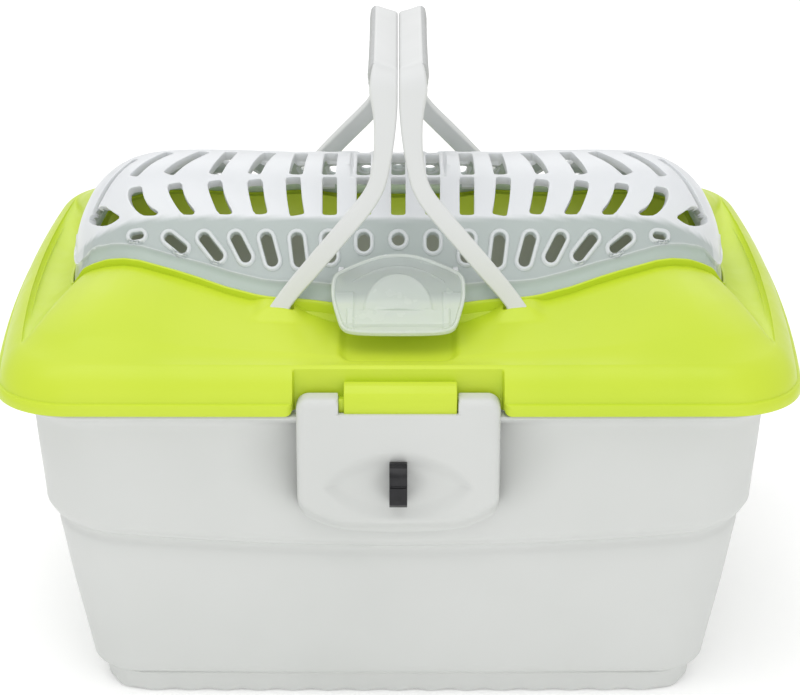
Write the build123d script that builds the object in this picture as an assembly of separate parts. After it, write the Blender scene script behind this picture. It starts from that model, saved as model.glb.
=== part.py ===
from build123d import *
import math
import os

os.makedirs("parts", exist_ok=True)

# Small pet carrier.  Millimetres, +Z up, front of the carrier towards -Y, the long side along X.
# The floor is Z = 0 and the middle of the carrier is X = 0, Y = 0 before the final centring shift.

# ------------------------------------------------------------------ driving dimensions
OVERALL_W = 440.0          # across the lid's lip, at mid depth
OVERALL_D = 330.0          # lip front to lip back
LIP_Z0 = 177.4             # underside of the lid's lip
LIP_Z1 = 184.0             # top of the lip band
CREASE_Z = 201.0           # soft crease between shoulder and sloped top
ROOF_Z = 232.0             # where the sloped top would end if the flap opening were not there
WALL_TUB = 2.6
WALL_LID = 2.6
WALL_FLAP = 2.2

TUB_Z_FOOT = 13.0          # top of the foot band
TUB_Z_LEDGE0 = 97.0        # lower edge of the ledge round the tub
TUB_Z_LEDGE1 = 104.0       # upper edge of the ledge
TUB_Z_TOP = 176.6          # top of the tub's flange

# bowed rounded rectangles: half width at mid depth, half width at the corner,
# half depth at mid width, half depth at the corner, corner radius
FOOT0 = (165.5, 159.5, 137.0, 136.0, 24.0)
FOOT1 = (167.5, 161.5, 138.5, 137.5, 25.0)
WALL0 = (174.0, 168.0, 142.0, 140.0, 30.0)
WALL1 = (190.0, 183.5, 149.0, 145.5, 38.0)
WALL2 = (195.5, 189.0, 153.0, 149.5, 42.0)
WALL3 = (199.5, 193.0, 156.5, 153.5, 44.0)
FLANGE = (214.0, 204.0, 162.0, 161.0, 42.0)
LIP = (OVERALL_W / 2, 210.0, OVERALL_D / 2, OVERALL_D / 2 - 0.5, 42.0)
LIP_TOP = (219.0, 209.0, 164.0, 163.5, 41.0)
CREASE = (206.0, 196.5, 151.0, 150.5, 36.0)
ROOF = (163.5, 158.0, 54.5, 54.0, 12.0)

# flap opening in plan: straight front and back runs, diagonals, bowed sides
OPEN_FX, OPEN_FY = 64.0, 97.0
OPEN_SX, OPEN_SY = 178.0, 50.0
OPEN_SIDE = 186.0
FLAP_GAP = 1.2
FLANGE_W = 7.0
CREASE_Y, CREASE_TOP_Z, DOME_TOP_Z = 57.0, 249.0, 264.5
DOME_FACE_SLOPE = 0.79

HANDLE_PIVOT_X, HANDLE_PIVOT_Z = 66.0, 212.5
HANDLE_Y0, HANDLE_LEAN, HANDLE_Z0 = -110.0, 0.34, 210.0    # front face of the leg: Y = Y0 + LEAN (Z - Z0)
LEG_T = 6.5
PIN_R = 2.5
PIN_CLEAR = 0.05
GRIP_HALF_LEN = 66.0

LOCK_Z = 141.0             # centre of the turn lock
HOUSING_HALF_W = 53.0
HOUSING_Y = -168.0         # front face of the lock housing
EAR_IN = 31.0              # half width of the notch between the ears
EAR_Z, NOTCH_Z, HOUSING_Z0 = 191.0, 180.0, 116.0
TONGUE_HALF_W = 30.0
TONGUE_Y0, TONGUE_Y1 = -160.8, -158.0      # far enough behind the panel to swing up past it

LID_HINGE_Y, LID_HINGE_Z, LID_HINGE_X = 166.5, 171.9, 112.0
HINGE_R = 5.0
FLAP_HINGE_Y, FLAP_HINGE_Z, FLAP_HINGE_X = 101.5, 214.5, 44.0
LATCH_PIVOT_Y, LATCH_PIVOT_Z = -88.0, 228.6


# ------------------------------------------------------------------ helpers
def outline(dims, z, grow=0.0):
    a, ac, b, bc, r = dims
    a, ac, b, bc, r = a + grow, ac + grow, b + grow, bc + grow, max(r + grow, 3.0)
    side_r = ThreePointArc((ac, -bc), (a, 0), (ac, bc))
    back = ThreePointArc((ac, bc), (0, b), (-ac, bc))
    side_l = ThreePointArc((-ac, bc), (-a, 0), (-ac, -bc))
    front = ThreePointArc((-ac, -bc), (0, -b), (ac, -bc))
    face = make_face(Wire([side_r, back, side_l, front]))
    face = fillet(face.vertices(), r)
    return Pos(0, 0, z) * face


def slab(sections, grow=0.0):
    """Straight-sided solid through a list of (dims, z)."""
    faces = [outline(d, z, grow) for d, z in sections]
    solid = None
    for lower, upper in zip(faces[:-1], faces[1:]):
        piece = loft([lower, upper], ruled=True)
        solid = piece if solid is None else solid + piece
    return solid


def opening_face(grow=0.0):
    k = grow
    dx = 0.4 * k
    pts = [(OPEN_FX + dx, -(OPEN_FY + k)), (OPEN_SX + k * 0.8, -(OPEN_SY + k * 0.75))]
    fx, fy = pts[0]
    sx, sy = pts[1]
    side = OPEN_SIDE + k
    edges = [
        Line((-fx, fy), (fx, fy)),
        Line((fx, fy), (sx, sy)),
        ThreePointArc((sx, sy), (side, 0), (sx, -sy)),
        Line((sx, -sy), (fx, -fy)),
        Line((fx, -fy), (-fx, -fy)),
        Line((-fx, -fy), (-sx, -sy)),
        ThreePointArc((-sx, -sy), (-side, 0), (-sx, sy)),
        Line((-sx, sy), (-fx, fy)),
    ]
    face = make_face(Wire(edges))
    near = [v for v in face.vertices() if abs(v.X) < OPEN_FX + 20]
    face = fillet(near, 40 + k)
    far = [v for v in face.vertices() if abs(v.X) > OPEN_SX - 12]
    return fillet(far, max(20 + k, 6))


def opening_prism(z0, z1, grow=0.0):
    return Pos(0, 0, z0) * extrude(opening_face(grow), z1 - z0)


def box(x0, x1, y0, y1, z0, z1):
    return Pos((x0 + x1) / 2, (y0 + y1) / 2, (z0 + z1) / 2) * Box(x1 - x0, y1 - y0, z1 - z0)


def cyl_x(r, x0, x1, y, z):
    return Pos((x0 + x1) / 2, y, z) * Rot(0, 90, 0) * Cylinder(r, x1 - x0)


def cyl_y(r, y0, y1, x, z):
    return Pos(x, (y0 + y1) / 2, z) * Rot(90, 0, 0) * Cylinder(r, y1 - y0)


def yz_prism(points, x0, x1):
    """Polygon given as (Y, Z), extruded from x0 to x1."""
    w = Wire([Line((x0, *p), (x0, *q)) for p, q in zip(points, points[1:] + points[:1])])
    return extrude(make_face(w), amount=x1 - x0, dir=(1, 0, 0))


def mirror_x(s):
    return mirror(s, about=Plane.YZ)


def mirror_y(s):
    return mirror(s, about=Plane.XZ)


# ------------------------------------------------------------------ base tub
tub_out = slab([(FOOT0, 0), (FOOT1, TUB_Z_FOOT)])
tub_out += slab([(WALL0, TUB_Z_FOOT), (WALL1, TUB_Z_LEDGE0), (WALL2, TUB_Z_LEDGE1), (WALL3, 168.0)])
tub_out += slab([(WALL3, 168.0), (FLANGE, 174.2), (FLANGE, TUB_Z_TOP)])

# the front wall bulges out as a hollow lock housing with two ears and a notch between them
bulge = box(-HOUSING_HALF_W, HOUSING_HALF_W, HOUSING_Y, -146, HOUSING_Z0, TUB_Z_TOP)
ears = box(-HOUSING_HALF_W, HOUSING_HALF_W, HOUSING_Y, -165.4, HOUSING_Z0, EAR_Z)
bulge = bulge + ears
corner = [e for e in bulge.edges().filter_by(Axis.Y) if abs(abs(e.center().X) - HOUSING_HALF_W) < 0.1]
bulge = fillet([e for e in corner if e.center().Z > EAR_Z - 1 or e.center().Z < HOUSING_Z0 + 1], 8.0)
notch = box(-EAR_IN, EAR_IN, HOUSING_Y - 1, -150, NOTCH_Z, EAR_Z + 5)
tub_out += bulge

t = WALL_TUB
tub_in = slab([(FOOT1, 3.0), (FOOT1, TUB_Z_FOOT + 2.8)], -t)
tub_in += slab([(WALL0, TUB_Z_FOOT + 2.8), (WALL1, TUB_Z_LEDGE0), (WALL2, TUB_Z_LEDGE1), (WALL3, 168.0),
                (WALL3, TUB_Z_TOP + 1)], -t)
bulge_in = box(-HOUSING_HALF_W + 2.6, HOUSING_HALF_W - 2.6, HOUSING_Y + 2.5, -140, HOUSING_Z0 + 2.6, TUB_Z_TOP + 20)

base_tub = tub_out - tub_in - bulge_in - notch
# clearance for the lid's lip behind the ears, above the flange line
base_tub -= box(-HOUSING_HALF_W - 1, HOUSING_HALF_W + 1, -165.4, -140, TUB_Z_TOP, EAR_Z + 5)
# bore for the lock's shaft, dished round the knob
SHAFT_R = 4.0
base_tub -= cyl_y(SHAFT_R + PIN_CLEAR, HOUSING_Y - 1, HOUSING_Y + 4, 0, LOCK_Z)
# hinge knuckles on the back wall: two pairs, each holding one pin
for sx in (-1, 1):
    for dx in (-15.5, 15.5):
        x = sx * LID_HINGE_X + dx
        k = cyl_x(HINGE_R, x - 4, x + 4, LID_HINGE_Y, LID_HINGE_Z)
        web = yz_prism([(LID_HINGE_Y, LID_HINGE_Z + HINGE_R), (LID_HINGE_Y, LID_HINGE_Z - HINGE_R),
                        (155.0, 152.0), (155.0, 172.0), (160.0, LID_HINGE_Z + HINGE_R - 0.4)], x - 4, x + 4)
        base_tub += k + web
    base_tub -= cyl_x(PIN_R + 0.02, sx * LID_HINGE_X - 30, sx * LID_HINGE_X + 30, LID_HINGE_Y, LID_HINGE_Z)

# flange is cut away between the knuckles so that the lid's knuckle can turn
for sx in (-1, 1):
    base_tub -= box(sx * LID_HINGE_X - 11.4, sx * LID_HINGE_X + 11.4, 154.9, 174.0, 165.6, 178.0)

# ------------------------------------------------------------------ lid
roof = slab([(CREASE, CREASE_Z), (ROOF, ROOF_Z)])
lid_out = slab([(LIP, LIP_Z0), (LIP, LIP_Z0 + 3.6), (LIP_TOP, LIP_Z1), (CREASE, CREASE_Z)]) + roof
tl = WALL_LID
lid_in = slab([(LIP, LIP_Z0 + tl), (LIP, LIP_Z0 + 3.6), (LIP_TOP, LIP_Z1 - 1.2), (CREASE, CREASE_Z - 2.4),
               (ROOF, ROOF_Z - 2.8)], -tl)
lid_in += slab([(FLANGE, LIP_Z0 - 1), (FLANGE, LIP_Z0 + tl)], -10.0)
lid = lid_out - lid_in

# ring ledge that the flap's flange rests on, a parallel copy of the roof, lower
def roof_layer(z_top, z_bottom, plan_outer, plan_inner):
    ring = opening_prism(190, 245, plan_outer) - opening_prism(189, 246, plan_inner)
    upper = Pos(0, 0, -z_top) * slab([(CREASE, CREASE_Z), (ROOF, ROOF_Z)])
    lower = Pos(0, 0, -z_bottom) * slab([(CREASE, CREASE_Z), (ROOF, ROOF_Z)])
    low_fill = box(-230, 230, -180, 180, 150, CREASE_Z - z_bottom)
    return (ring & upper) - lower - low_fill


lid -= opening_prism(190, 245)
lid_ledge = roof_layer(3.9, 6.3, 1.5, -5.0)
lid_skirt = roof_layer(0.6, 6.3, 2.0, 0.0)
lid += lid_ledge
lid += lid_skirt

# skirt that locates the lid inside the tub
loc_out = slab([(WALL3, 171.0), (WALL3, LIP_Z0 + tl)], -tl - 0.8)
loc_in = slab([(WALL3, 170.0), (WALL3, LIP_Z0 + tl + 1)], -tl - 2.8)
locator = loc_out - loc_in
locator -= box(-HOUSING_HALF_W - 6, HOUSING_HALF_W + 6, -175, -120, 160, 185)
locator -= box(-230, 230, 100, 180, 160, LIP_Z0)
shelf = slab([(FLANGE, LIP_Z0), (FLANGE, LIP_Z0 + tl)], -9.0) - slab([(WALL3, LIP_Z0 - 1), (WALL3, LIP_Z0 + tl + 1)], -tl - 2.8)
shelf -= box(-HOUSING_HALF_W - 3, HOUSING_HALF_W + 3, -175, -146, 160, 190)
lid += shelf + locator

# recess behind the lock housing's ears: the lip and shoulder step back to a flat wall
rec = box(-HOUSING_HALF_W - 1.8, HOUSING_HALF_W + 1.8, -175, -162.6, 170, 197)
recess_wall = box(-HOUSING_HALF_W - 3.6, HOUSING_HALF_W + 3.6, -162.6, -160.0, LIP_Z0, 190.0) & lid_out
lid = lid - rec + recess_wall

# tongue: thick head between the ears, thin plate with a keyhole behind the panel
head = yz_prism([(-166.2, 181.2), (-166.2, 195.5), (-163.5, 198.2), (-153.0, 199.5), (-153.0, 190.0), (TONGUE_Y1, 181.2)],
                -TONGUE_HALF_W, TONGUE_HALF_W)
plate = box(-TONGUE_HALF_W, TONGUE_HALF_W, TONGUE_Y0, TONGUE_Y1, 120.4, 190.0)
keyhole = cyl_y(17.2, -166, -150, 0, LOCK_Z) + box(-6.2, 6.2, -166, -150, 119.0, LOCK_Z)
lid += head + (plate - keyhole)


# finger recess in front of the flap latch, and the pocket that the latch sits in
def roof_band(dz_top, dz_bot, x0, x1, y0, y1):
    up = Pos(0, 0, -dz_top) * slab([(CREASE, CREASE_Z), (ROOF, ROOF_Z)])
    lo = Pos(0, 0, -dz_bot) * slab([(CREASE, CREASE_Z), (ROOF, ROOF_Z)])
    return (up & box(x0, x1, y0, y1, 190, 245)) - lo


POCKET_X, POCKET_Y0, POCKET_DEPTH = 35.5, -139.0, 5.0
pocket_floor = roof_band(POCKET_DEPTH, POCKET_DEPTH + 2.4, -POCKET_X - 2, POCKET_X + 2, POCKET_Y0 - 2, -92.2)
pocket_wall = roof_band(0.4, POCKET_DEPTH + 2.4, -POCKET_X - 2, POCKET_X + 2, POCKET_Y0 - 2, -96.9)
pocket_cut = roof_band(-3.0, POCKET_DEPTH, -POCKET_X, POCKET_X, POCKET_Y0, -80)
lid = lid + pocket_floor + pocket_wall
lid -= pocket_cut
lid -= box(-13.0, 13.0, -106.0, -100.5, 195, 240)          # window for the latch's catch

# handle sockets: slot in the sloped top with a cheek on the inner side of the leg, which holds the pin
SLOT_X0, SLOT_X1 = 53.5, 84.0
for sy in (-1, 1):
    for sx in (-1, 1):
        cheeks = None
        for y0, y1 in ((-102.0, -98.2),):
            c = cyl_y(8.0, y0, y1, -HANDLE_PIVOT_X, HANDLE_PIVOT_Z)
            c += box(-HANDLE_PIVOT_X - 17.0, -HANDLE_PIVOT_X + 12.5, y0, y1, HANDLE_PIVOT_Z - 6, ROOF_Z)
            c = c & (lid_out - opening_prism(190, 245, -0.4))
            cheeks = c if cheeks is None else cheeks + c
        if sx > 0:
            cheeks = mirror_x(cheeks)
        if sy > 0:
            cheeks = mirror_y(cheeks)
        lid += cheeks
for sy in (-1, 1):
    for sx in (-1, 1):
        slot = box(-SLOT_X1, -SLOT_X0, -111.8, -102.0, 196, 240)
        slot += box(-SLOT_X1 - 10.0, -72.2, -107.4, -95.0, 209.3, 240)
        bore = cyl_y(PIN_R + 0.02, -110, -97, -HANDLE_PIVOT_X, HANDLE_PIVOT_Z)
        cut = slot + bore
        if sx > 0:
            cut = mirror_x(cut)
        if sy > 0:
            cut = mirror_y(cut)
        lid -= cut

# lid-side hinge knuckles
for sx in (-1, 1):
    x0, x1 = sx * LID_HINGE_X - 11.0, sx * LID_HINGE_X + 11.0
    kn = cyl_x(HINGE_R, x0, x1, LID_HINGE_Y, LID_HINGE_Z)
    kn += yz_prism([(LID_HINGE_Y + 4.6, LID_HINGE_Z + 2.0), (LID_HINGE_Y + 3.0, LIP_Z0 + 3.0), (156.5, LIP_Z0 + 3.0),
                    (156.5, LIP_Z0 + 0.2), (LID_HINGE_Y - 4.4, LID_HINGE_Z + 2.3)], x0, x1)
    lid += kn
    lid -= cyl_x(PIN_R + PIN_CLEAR, x0 - 2, x1 + 2, LID_HINGE_Y, LID_HINGE_Z)
    lid -= cyl_x(HINGE_R + 0.5, x0 - 9.5, x0 - 0.01, LID_HINGE_Y, LID_HINGE_Z)
    lid -= cyl_x(HINGE_R + 0.5, x1 + 0.01, x1 + 9.5, LID_HINGE_Y, LID_HINGE_Z)

# flap hinge brackets under the back edge of the opening
for sx in (-1, 1):
    for dx in (-8.6, 8.6):
        x = sx * FLAP_HINGE_X + dx
        br = cyl_x(4.6, x - 2, x + 2, FLAP_HINGE_Y, FLAP_HINGE_Z)
        br += box(x - 2, x + 2, FLAP_HINGE_Y - 4.6, FLAP_HINGE_Y + 4.6, FLAP_HINGE_Z, ROOF_Z)
        lid += br & lid_out
    lid -= box(sx * FLAP_HINGE_X - 6.6, sx * FLAP_HINGE_X + 6.6, 88, FLAP_HINGE_Y + 8.0, FLAP_HINGE_Z - 9, 240)
    lid -= cyl_x(2.02, sx * FLAP_HINGE_X - 14, sx * FLAP_HINGE_X + 14, FLAP_HINGE_Y, FLAP_HINGE_Z)

# ------------------------------------------------------------------ flap (domed roof flap)
def dome_solid(inset):
    """Vault cut from a depth profile and a width profile; inset makes the inner skin."""
    i = inset
    cy, cz, tz = CREASE_Y, CREASE_TOP_Z - i * 1.15, DOME_TOP_Z - i
    y_low = CREASE_Y + (cz - 190.0) / DOME_FACE_SLOPE
    prof = make_face(Wire([
        Line((-240, -y_low, 190.0), (-240, -cy, cz)),
        ThreePointArc((-240, -cy, cz), (-240, 0, tz), (-240, cy, cz)),
        Line((-240, cy, cz), (-240, y_low, 190.0)),
        Line((-240, y_low, 190.0), (-240, -y_low, 190.0)),
    ]))
    a = extrude(prof, amount=480, dir=(1, 0, 0))
    w = 1.0
    pts = [(-190 + i * w, 190), (-180 + i * w, 231), (-173.5 + i * w, 243.5), (-164 + i * 0.9, 253 - i * 0.6),
           (-150 + i * 0.6, 260.5 - i * 0.8), (-133 + i * 0.3, DOME_TOP_Z + 0.6 - i)]
    edges = []
    full = pts + [(-x, z) for x, z in reversed(pts)]
    for p, q in zip(full, full[1:] + full[:1]):
        edges.append(Line((p[0], -160, p[1]), (q[0], -160, q[1])))
    b = extrude(make_face(Wire(edges)), amount=320, dir=(0, 1, 0))
    return a & b & opening_prism(180, 300, -FLAP_GAP - FLANGE_W + 1.0 - i)


lower_cut = Pos(0, 0, -3.6) * slab([(CREASE, CREASE_Z), (ROOF, ROOF_Z)]) + box(-240, 240, -200, 200, 150, CREASE_Z - 3.6)
dome = dome_solid(0.0) - dome_solid(WALL_FLAP)
dome -= lower_cut
flap_flange = roof_layer(1.0, 3.5, -FLAP_GAP, -FLAP_GAP - FLANGE_W)
flap = dome + flap_flange

# slots: seventeen columns; three rows on the front half, mirrored to the back half
COL_X = [0.0, 19.2, 37.8, 55.4, 71.5, 87.5, 104.0, 121.5]
ROW3_LEN = [8.0, 12.0, 19.0, 21.0, 22.0, 20.0, 18.0, 13.0]
SLOT_W = 6.6


def pill(x, y0, y1, w, z0, z1):
    r = w / 2
    s = box(x - r, x + r, y0 + r, y1 - r, z0, z1) if y1 - y0 > w + 0.2 else None
    c0 = Pos(x, y0 + r, (z0 + z1) / 2) * Cylinder(r, z1 - z0)
    c1 = Pos(x, y1 - r, (z0 + z1) / 2) * Cylinder(r, z1 - z0)
    return c0 + c1 + s if s is not None else c0 + c1


cutters = []
for i, x in enumerate(COL_X):
    for sx in ((1,) if i == 0 else (-1, 1)):
        ln = ROW3_LEN[i] * 0.79
        yc = -66.5 - (2.0 if i in (3, 4, 5) else 0.0)
        for sy in (-1, 1):
            y0, y1 = yc - ln / 2, yc + ln / 2
            if sy > 0:
                y0, y1 = -y1, -y0
            cutters.append(pill(sx * x, y0, y1, SLOT_W, 225, 262))
            y0, y1 = -53.0, -29.0
            if sy > 0:
                y0, y1 = -y1, -y0
            cutters.append(pill(sx * x, y0, y1, 7.6, 240, 275))
        cutters.append(pill(sx * x, -22.0, 5.0, 7.6, 255, 275))
        cutters.append(pill(sx * x, 11.0, 25.0, 7.6, 255, 275))
for sx in (-1, 1):
    for sy in (-1, 1):
        y0, y1 = (-47.0, -27.0) if sy < 0 else (27.0, 47.0)
        cutters.append(pill(sx * 142.0, y0, y1, 7.6, 240, 275))
        cutters.append(pill(sx * 159.0, sy * 14.0 - 10.0, sy * 14.0 + 10.0, 7.0, 236, 275))
flap -= cutters

# hinge lugs of the flap, at the back, reaching down through the lid's brackets
for sx in (-1, 1):
    x0, x1 = sx * FLAP_HINGE_X - 6.0, sx * FLAP_HINGE_X + 6.0
    lug = cyl_x(4.2, x0, x1, FLAP_HINGE_Y, FLAP_HINGE_Z)
    lug += yz_prism([(FLAP_HINGE_Y - 3.6, FLAP_HINGE_Z - 2.0), (FLAP_HINGE_Y + 3.0, FLAP_HINGE_Z + 2.8),
                     (92.0, 219.4), (88.0, 221.2), (88.0, 217.0)], x0, x1)
    flap += lug
    flap -= cyl_x(2.0 + PIN_CLEAR, x0 - 3, x1 + 3, FLAP_HINGE_Y, FLAP_HINGE_Z)

# two ears on the flap's front face that carry the latch's pin
for sx in (-1, 1):
    x0, x1 = (29.2, 32.4) if sx > 0 else (-32.4, -29.2)
    ear = cyl_x(4.4, x0, x1, LATCH_PIVOT_Y, LATCH_PIVOT_Z)
    ear += yz_prism([(LATCH_PIVOT_Y - 4.4, LATCH_PIVOT_Z), (LATCH_PIVOT_Y + 4.4, LATCH_PIVOT_Z), (-80.5, 231.5),
                     (-84.0, 225.5), (-92.0, 218.6), (-93.6, 218.2)], x0, x1)
    flap += ear
flap -= cyl_x(1.52, -33, 33, LATCH_PIVOT_Y, LATCH_PIVOT_Z)
# the flap's front flange gives way to the latch between the ears
flap -= box(-29.2, 29.2, -99.0, -92.5, 205, 224)

# ------------------------------------------------------------------ flap latch (lifting tab)
latch = yz_prism([(-130.0, 210.6), (-130.0, 213.8), (-126.5, 216.0), (-91.0, 232.2), (-84.5, 233.0), (-83.6, 230.4),
                  (-92.0, 227.6), (-126.0, 212.4)], -28.4, 28.4)
wings = yz_prism([(-130.0, 210.6), (-130.0, 213.8), (-126.5, 216.0), (-95.0, 230.4), (-95.0, 226.2), (-126.0, 212.4)],
                 -33.0, 33.0)
latch += wings
latch += cyl_x(3.2, -28.4, 28.4, LATCH_PIVOT_Y, LATCH_PIVOT_Z)
catch = yz_prism([(-104.2, 223.0), (-101.6, 224.2), (-101.6, 210.2), (-104.2, 210.2)], -11.5, 11.5)
latch += catch
latch += yz_prism([(-127.5, 214.6), (-127.5, 216.6), (-122.0, 218.8), (-120.6, 218.0)], -25.0, 25.0)
latch -= cyl_x(1.55, -30, 30, LATCH_PIVOT_Y, LATCH_PIVOT_Z)
flap_latch = latch
flap_latch_pin = cyl_x(1.5, -32.2, 32.2, LATCH_PIVOT_Y, LATCH_PIVOT_Z)

# ------------------------------------------------------------------ handles
LEAN_ANG = math.degrees(math.atan(HANDLE_LEAN))
cl = math.cos(math.radians(LEAN_ANG))


def to_s(z):
    return (z - HANDLE_Z0) / cl


leg_outer = [(-72.4, 209.0), (-72.4, 214.5), (-67.0, 222.0), (-60.3, 229.9), (-49.7, 241.0), (-39.5, 251.4),
             (-31.5, 259.8), (-23.4, 268.8), (-18.4, 274.8), (-15.2, 281.0), (-13.2, 292.0), (-12.8, 302.0),
             (-13.2, 312.0), (-14.8, 322.0), (-16.2, 330.0)]
leg_inner = [(-0.35, 330.0), (-0.35, 318.0), (-1.0, 309.0), (-2.0, 300.3), (-3.6, 290.3), (-5.8, 280.3), (-7.2, 276.0),
             (-10.2, 270.0), (-15.2, 263.2), (-23.0, 254.6), (-33.5, 243.4), (-44.0, 232.0), (-52.0, 224.0),
             (-58.5, 216.5), (-59.5, 209.0)]
leg_plane = Plane(origin=(0, HANDLE_Y0, HANDLE_Z0), x_dir=(1, 0, 0), z_dir=(0, -cl, math.sin(math.radians(LEAN_ANG))))
pts = [(x, to_s(z)) for x, z in leg_outer] + [(x, to_s(z)) for x, z in leg_inner]
leg_face = make_face(Polyline(*pts, close=True))
leg = extrude(leg_plane * leg_face, amount=-LEG_T)
leg = leg & box(-120, 0, -140, 0, 200, 329.8)
# round eye for the pin at the foot
PIV_Y0 = HANDLE_Y0 + HANDLE_LEAN * (HANDLE_PIVOT_Z - HANDLE_Z0)
eye = cyl_y(6.4, PIV_Y0, -102.4, -HANDLE_PIVOT_X, HANDLE_PIVOT_Z)
leg = leg - box(-120, 0, -140, 0, 200, HANDLE_PIVOT_Z) - box(-120, 0, -102.4, 0, 200, HANDLE_PIVOT_Z + 8.5) + eye
bail = leg + mirror_y(leg)
# grip: closed bar with a sloped top, hollow recess on the outer face for the pad
grip_prof = Wire([Line(p, q) for p, q in zip(
    [(-0.35, 0, 320.0), (-13.0, 0, 320.0), (-16.2, 0, 325.0), (-15.4, 0, 336.0), (-12.0, 0, 339.0), (-0.35, 0, 333.6)],
    [(-13.0, 0, 320.0), (-16.2, 0, 325.0), (-15.4, 0, 336.0), (-12.0, 0, 339.0), (-0.35, 0, 333.6), (-0.35, 0, 320.0)])])
bar = Pos(0, -GRIP_HALF_LEN - 4.0, 0) * extrude(make_face(grip_prof), amount=2 * GRIP_HALF_LEN + 8.0, dir=(0, 1, 0))
bar -= box(-17.5, -13.4, -GRIP_HALF_LEN + 4, GRIP_HALF_LEN - 4, 322.5, 340.0)
handle_left = bail + bar
handle_left -= cyl_y(PIN_R + PIN_CLEAR, -107.2, 107.2, -HANDLE_PIVOT_X, HANDLE_PIVOT_Z)
grip_pad_left = box(-16.6, -13.4, -GRIP_HALF_LEN + 4, GRIP_HALF_LEN - 4, 322.6, 338.6)
ch = [e for e in grip_pad_left.edges().filter_by(Axis.Y) if e.center().X < -16]
grip_pad_left = fillet(ch, 1.4)
ridges = []
n = 24
for i in range(n):
    y = -GRIP_HALF_LEN + 7.5 + i * (2 * GRIP_HALF_LEN - 15.0) / (n - 1)
    ridges.append(Pos(-16.6, y, 330.6) * Rot(35, 0, 0) * Box(1.0, 1.1, 10.5))
grip_pad_left -= ridges
handle_right = mirror_x(handle_left)
grip_pad_right = mirror_x(grip_pad_left)

pins = {}
for nm, sx, sy in (("left_front", -1, -1), ("left_back", -1, 1), ("right_front", 1, -1), ("right_back", 1, 1)):
    p = cyl_y(PIN_R, -106.8, -98.4, -HANDLE_PIVOT_X, HANDLE_PIVOT_Z)
    if sx > 0:
        p = mirror_x(p)
    if sy > 0:
        p = mirror_y(p)
    pins[nm] = p

# ------------------------------------------------------------------ turn lock
# knob: round flange, thumb bar and a squared stem through the panel
knob = cyl_y(11.0, HOUSING_Y - 1.8, HOUSING_Y - 0.3, 0, LOCK_Z)
bar_k = box(-4.6, 4.6, HOUSING_Y - 9.5, HOUSING_Y - 1.0, LOCK_Z - 12.0, LOCK_Z + 12.0)
bar_k = fillet(bar_k.edges().filter_by(Axis.Y), 3.2)
bar_k = fillet(bar_k.faces().sort_by(Axis.Y)[0].edges(), 1.6)
knob += bar_k
knob += cyl_y(SHAFT_R, HOUSING_Y - 0.4, HOUSING_Y + 3.4, 0, LOCK_Z)
knob += cyl_y(SHAFT_R, HOUSING_Y + 3.3, TONGUE_Y0, 0, LOCK_Z)
knob += box(-2.5, 2.5, TONGUE_Y0 - 0.1, TONGUE_Y1 + 0.1, LOCK_Z - 2.5, LOCK_Z + 2.5)
knob -= cyl_y(1.25, HOUSING_Y - 2.0, TONGUE_Y1 + 1.0, 0, LOCK_Z)
lock_knob = knob
cam = box(-4.5, 4.5, TONGUE_Y0, TONGUE_Y1, LOCK_Z - 16.0, LOCK_Z + 16.0)
cam = fillet(cam.edges().filter_by(Axis.Y), 2.5)
cam -= box(-2.55, 2.55, TONGUE_Y0 - 1, TONGUE_Y1 + 1, LOCK_Z - 2.55, LOCK_Z + 2.55)
lock_cam = cam
washer = (cyl_y(5.2, TONGUE_Y1 + 0.15, TONGUE_Y1 + 0.95, 0, LOCK_Z)
          - cyl_y(1.6, TONGUE_Y1, TONGUE_Y1 + 2.0, 0, LOCK_Z))
lock_washer = washer
SCREW_Y = TONGUE_Y1 + 0.95
screw = cyl_y(1.25, HOUSING_Y + 4.5, SCREW_Y + 0.1, 0, LOCK_Z) + cyl_y(3.0, SCREW_Y, SCREW_Y + 2.1, 0, LOCK_Z)
screw -= box(-0.4, 0.4, SCREW_Y + 1.2, SCREW_Y + 2.5, LOCK_Z - 2.0, LOCK_Z + 2.0)
screw -= box(-2.0, 2.0, SCREW_Y + 1.2, SCREW_Y + 2.5, LOCK_Z - 0.4, LOCK_Z + 0.4)
lock_screw = screw

# ------------------------------------------------------------------ hinge pins
lid_pins = {}
for nm, sx in (("left", -1), ("right", 1)):
    lid_pins[nm] = cyl_x(PIN_R, sx * LID_HINGE_X - 19.3, sx * LID_HINGE_X + 19.3, LID_HINGE_Y, LID_HINGE_Z)
flap_pins = {}
for nm, sx in (("left", -1), ("right", 1)):
    flap_pins[nm] = cyl_x(2.0, sx * FLAP_HINGE_X - 10.4, sx * FLAP_HINGE_X + 10.4, FLAP_HINGE_Y, FLAP_HINGE_Z)

# ------------------------------------------------------------------ write the nodes
nodes = {
    "base_tub": base_tub,
    "lid": lid,
    "flap": flap,
    "flap_latch": flap_latch,
    "flap_latch_pin": flap_latch_pin,
    "handle_left": handle_left,
    "handle_right": handle_right,
    "grip_pad_left": grip_pad_left,
    "grip_pad_right": grip_pad_right,
    "handle_pin_left_front": pins["left_front"],
    "handle_pin_left_back": pins["left_back"],
    "handle_pin_right_front": pins["right_front"],
    "handle_pin_right_back": pins["right_back"],
    "lock_knob": lock_knob,
    "lock_cam": lock_cam,
    "lock_washer": lock_washer,
    "lock_screw": lock_screw,
    "lid_hinge_pin_left": lid_pins["left"],
    "lid_hinge_pin_right": lid_pins["right"],
    "flap_hinge_pin_left": flap_pins["left"],
    "flap_hinge_pin_right": flap_pins["right"],
}

Y_MIN = min(s.bounding_box().min.Y for s in nodes.values())
Y_MAX = max(s.bounding_box().max.Y for s in nodes.values())
Y_SHIFT = -(Y_MIN + Y_MAX) / 2
print("Y range before centring", round(Y_MIN, 3), round(Y_MAX, 3), "shift", round(Y_SHIFT, 3))

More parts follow.
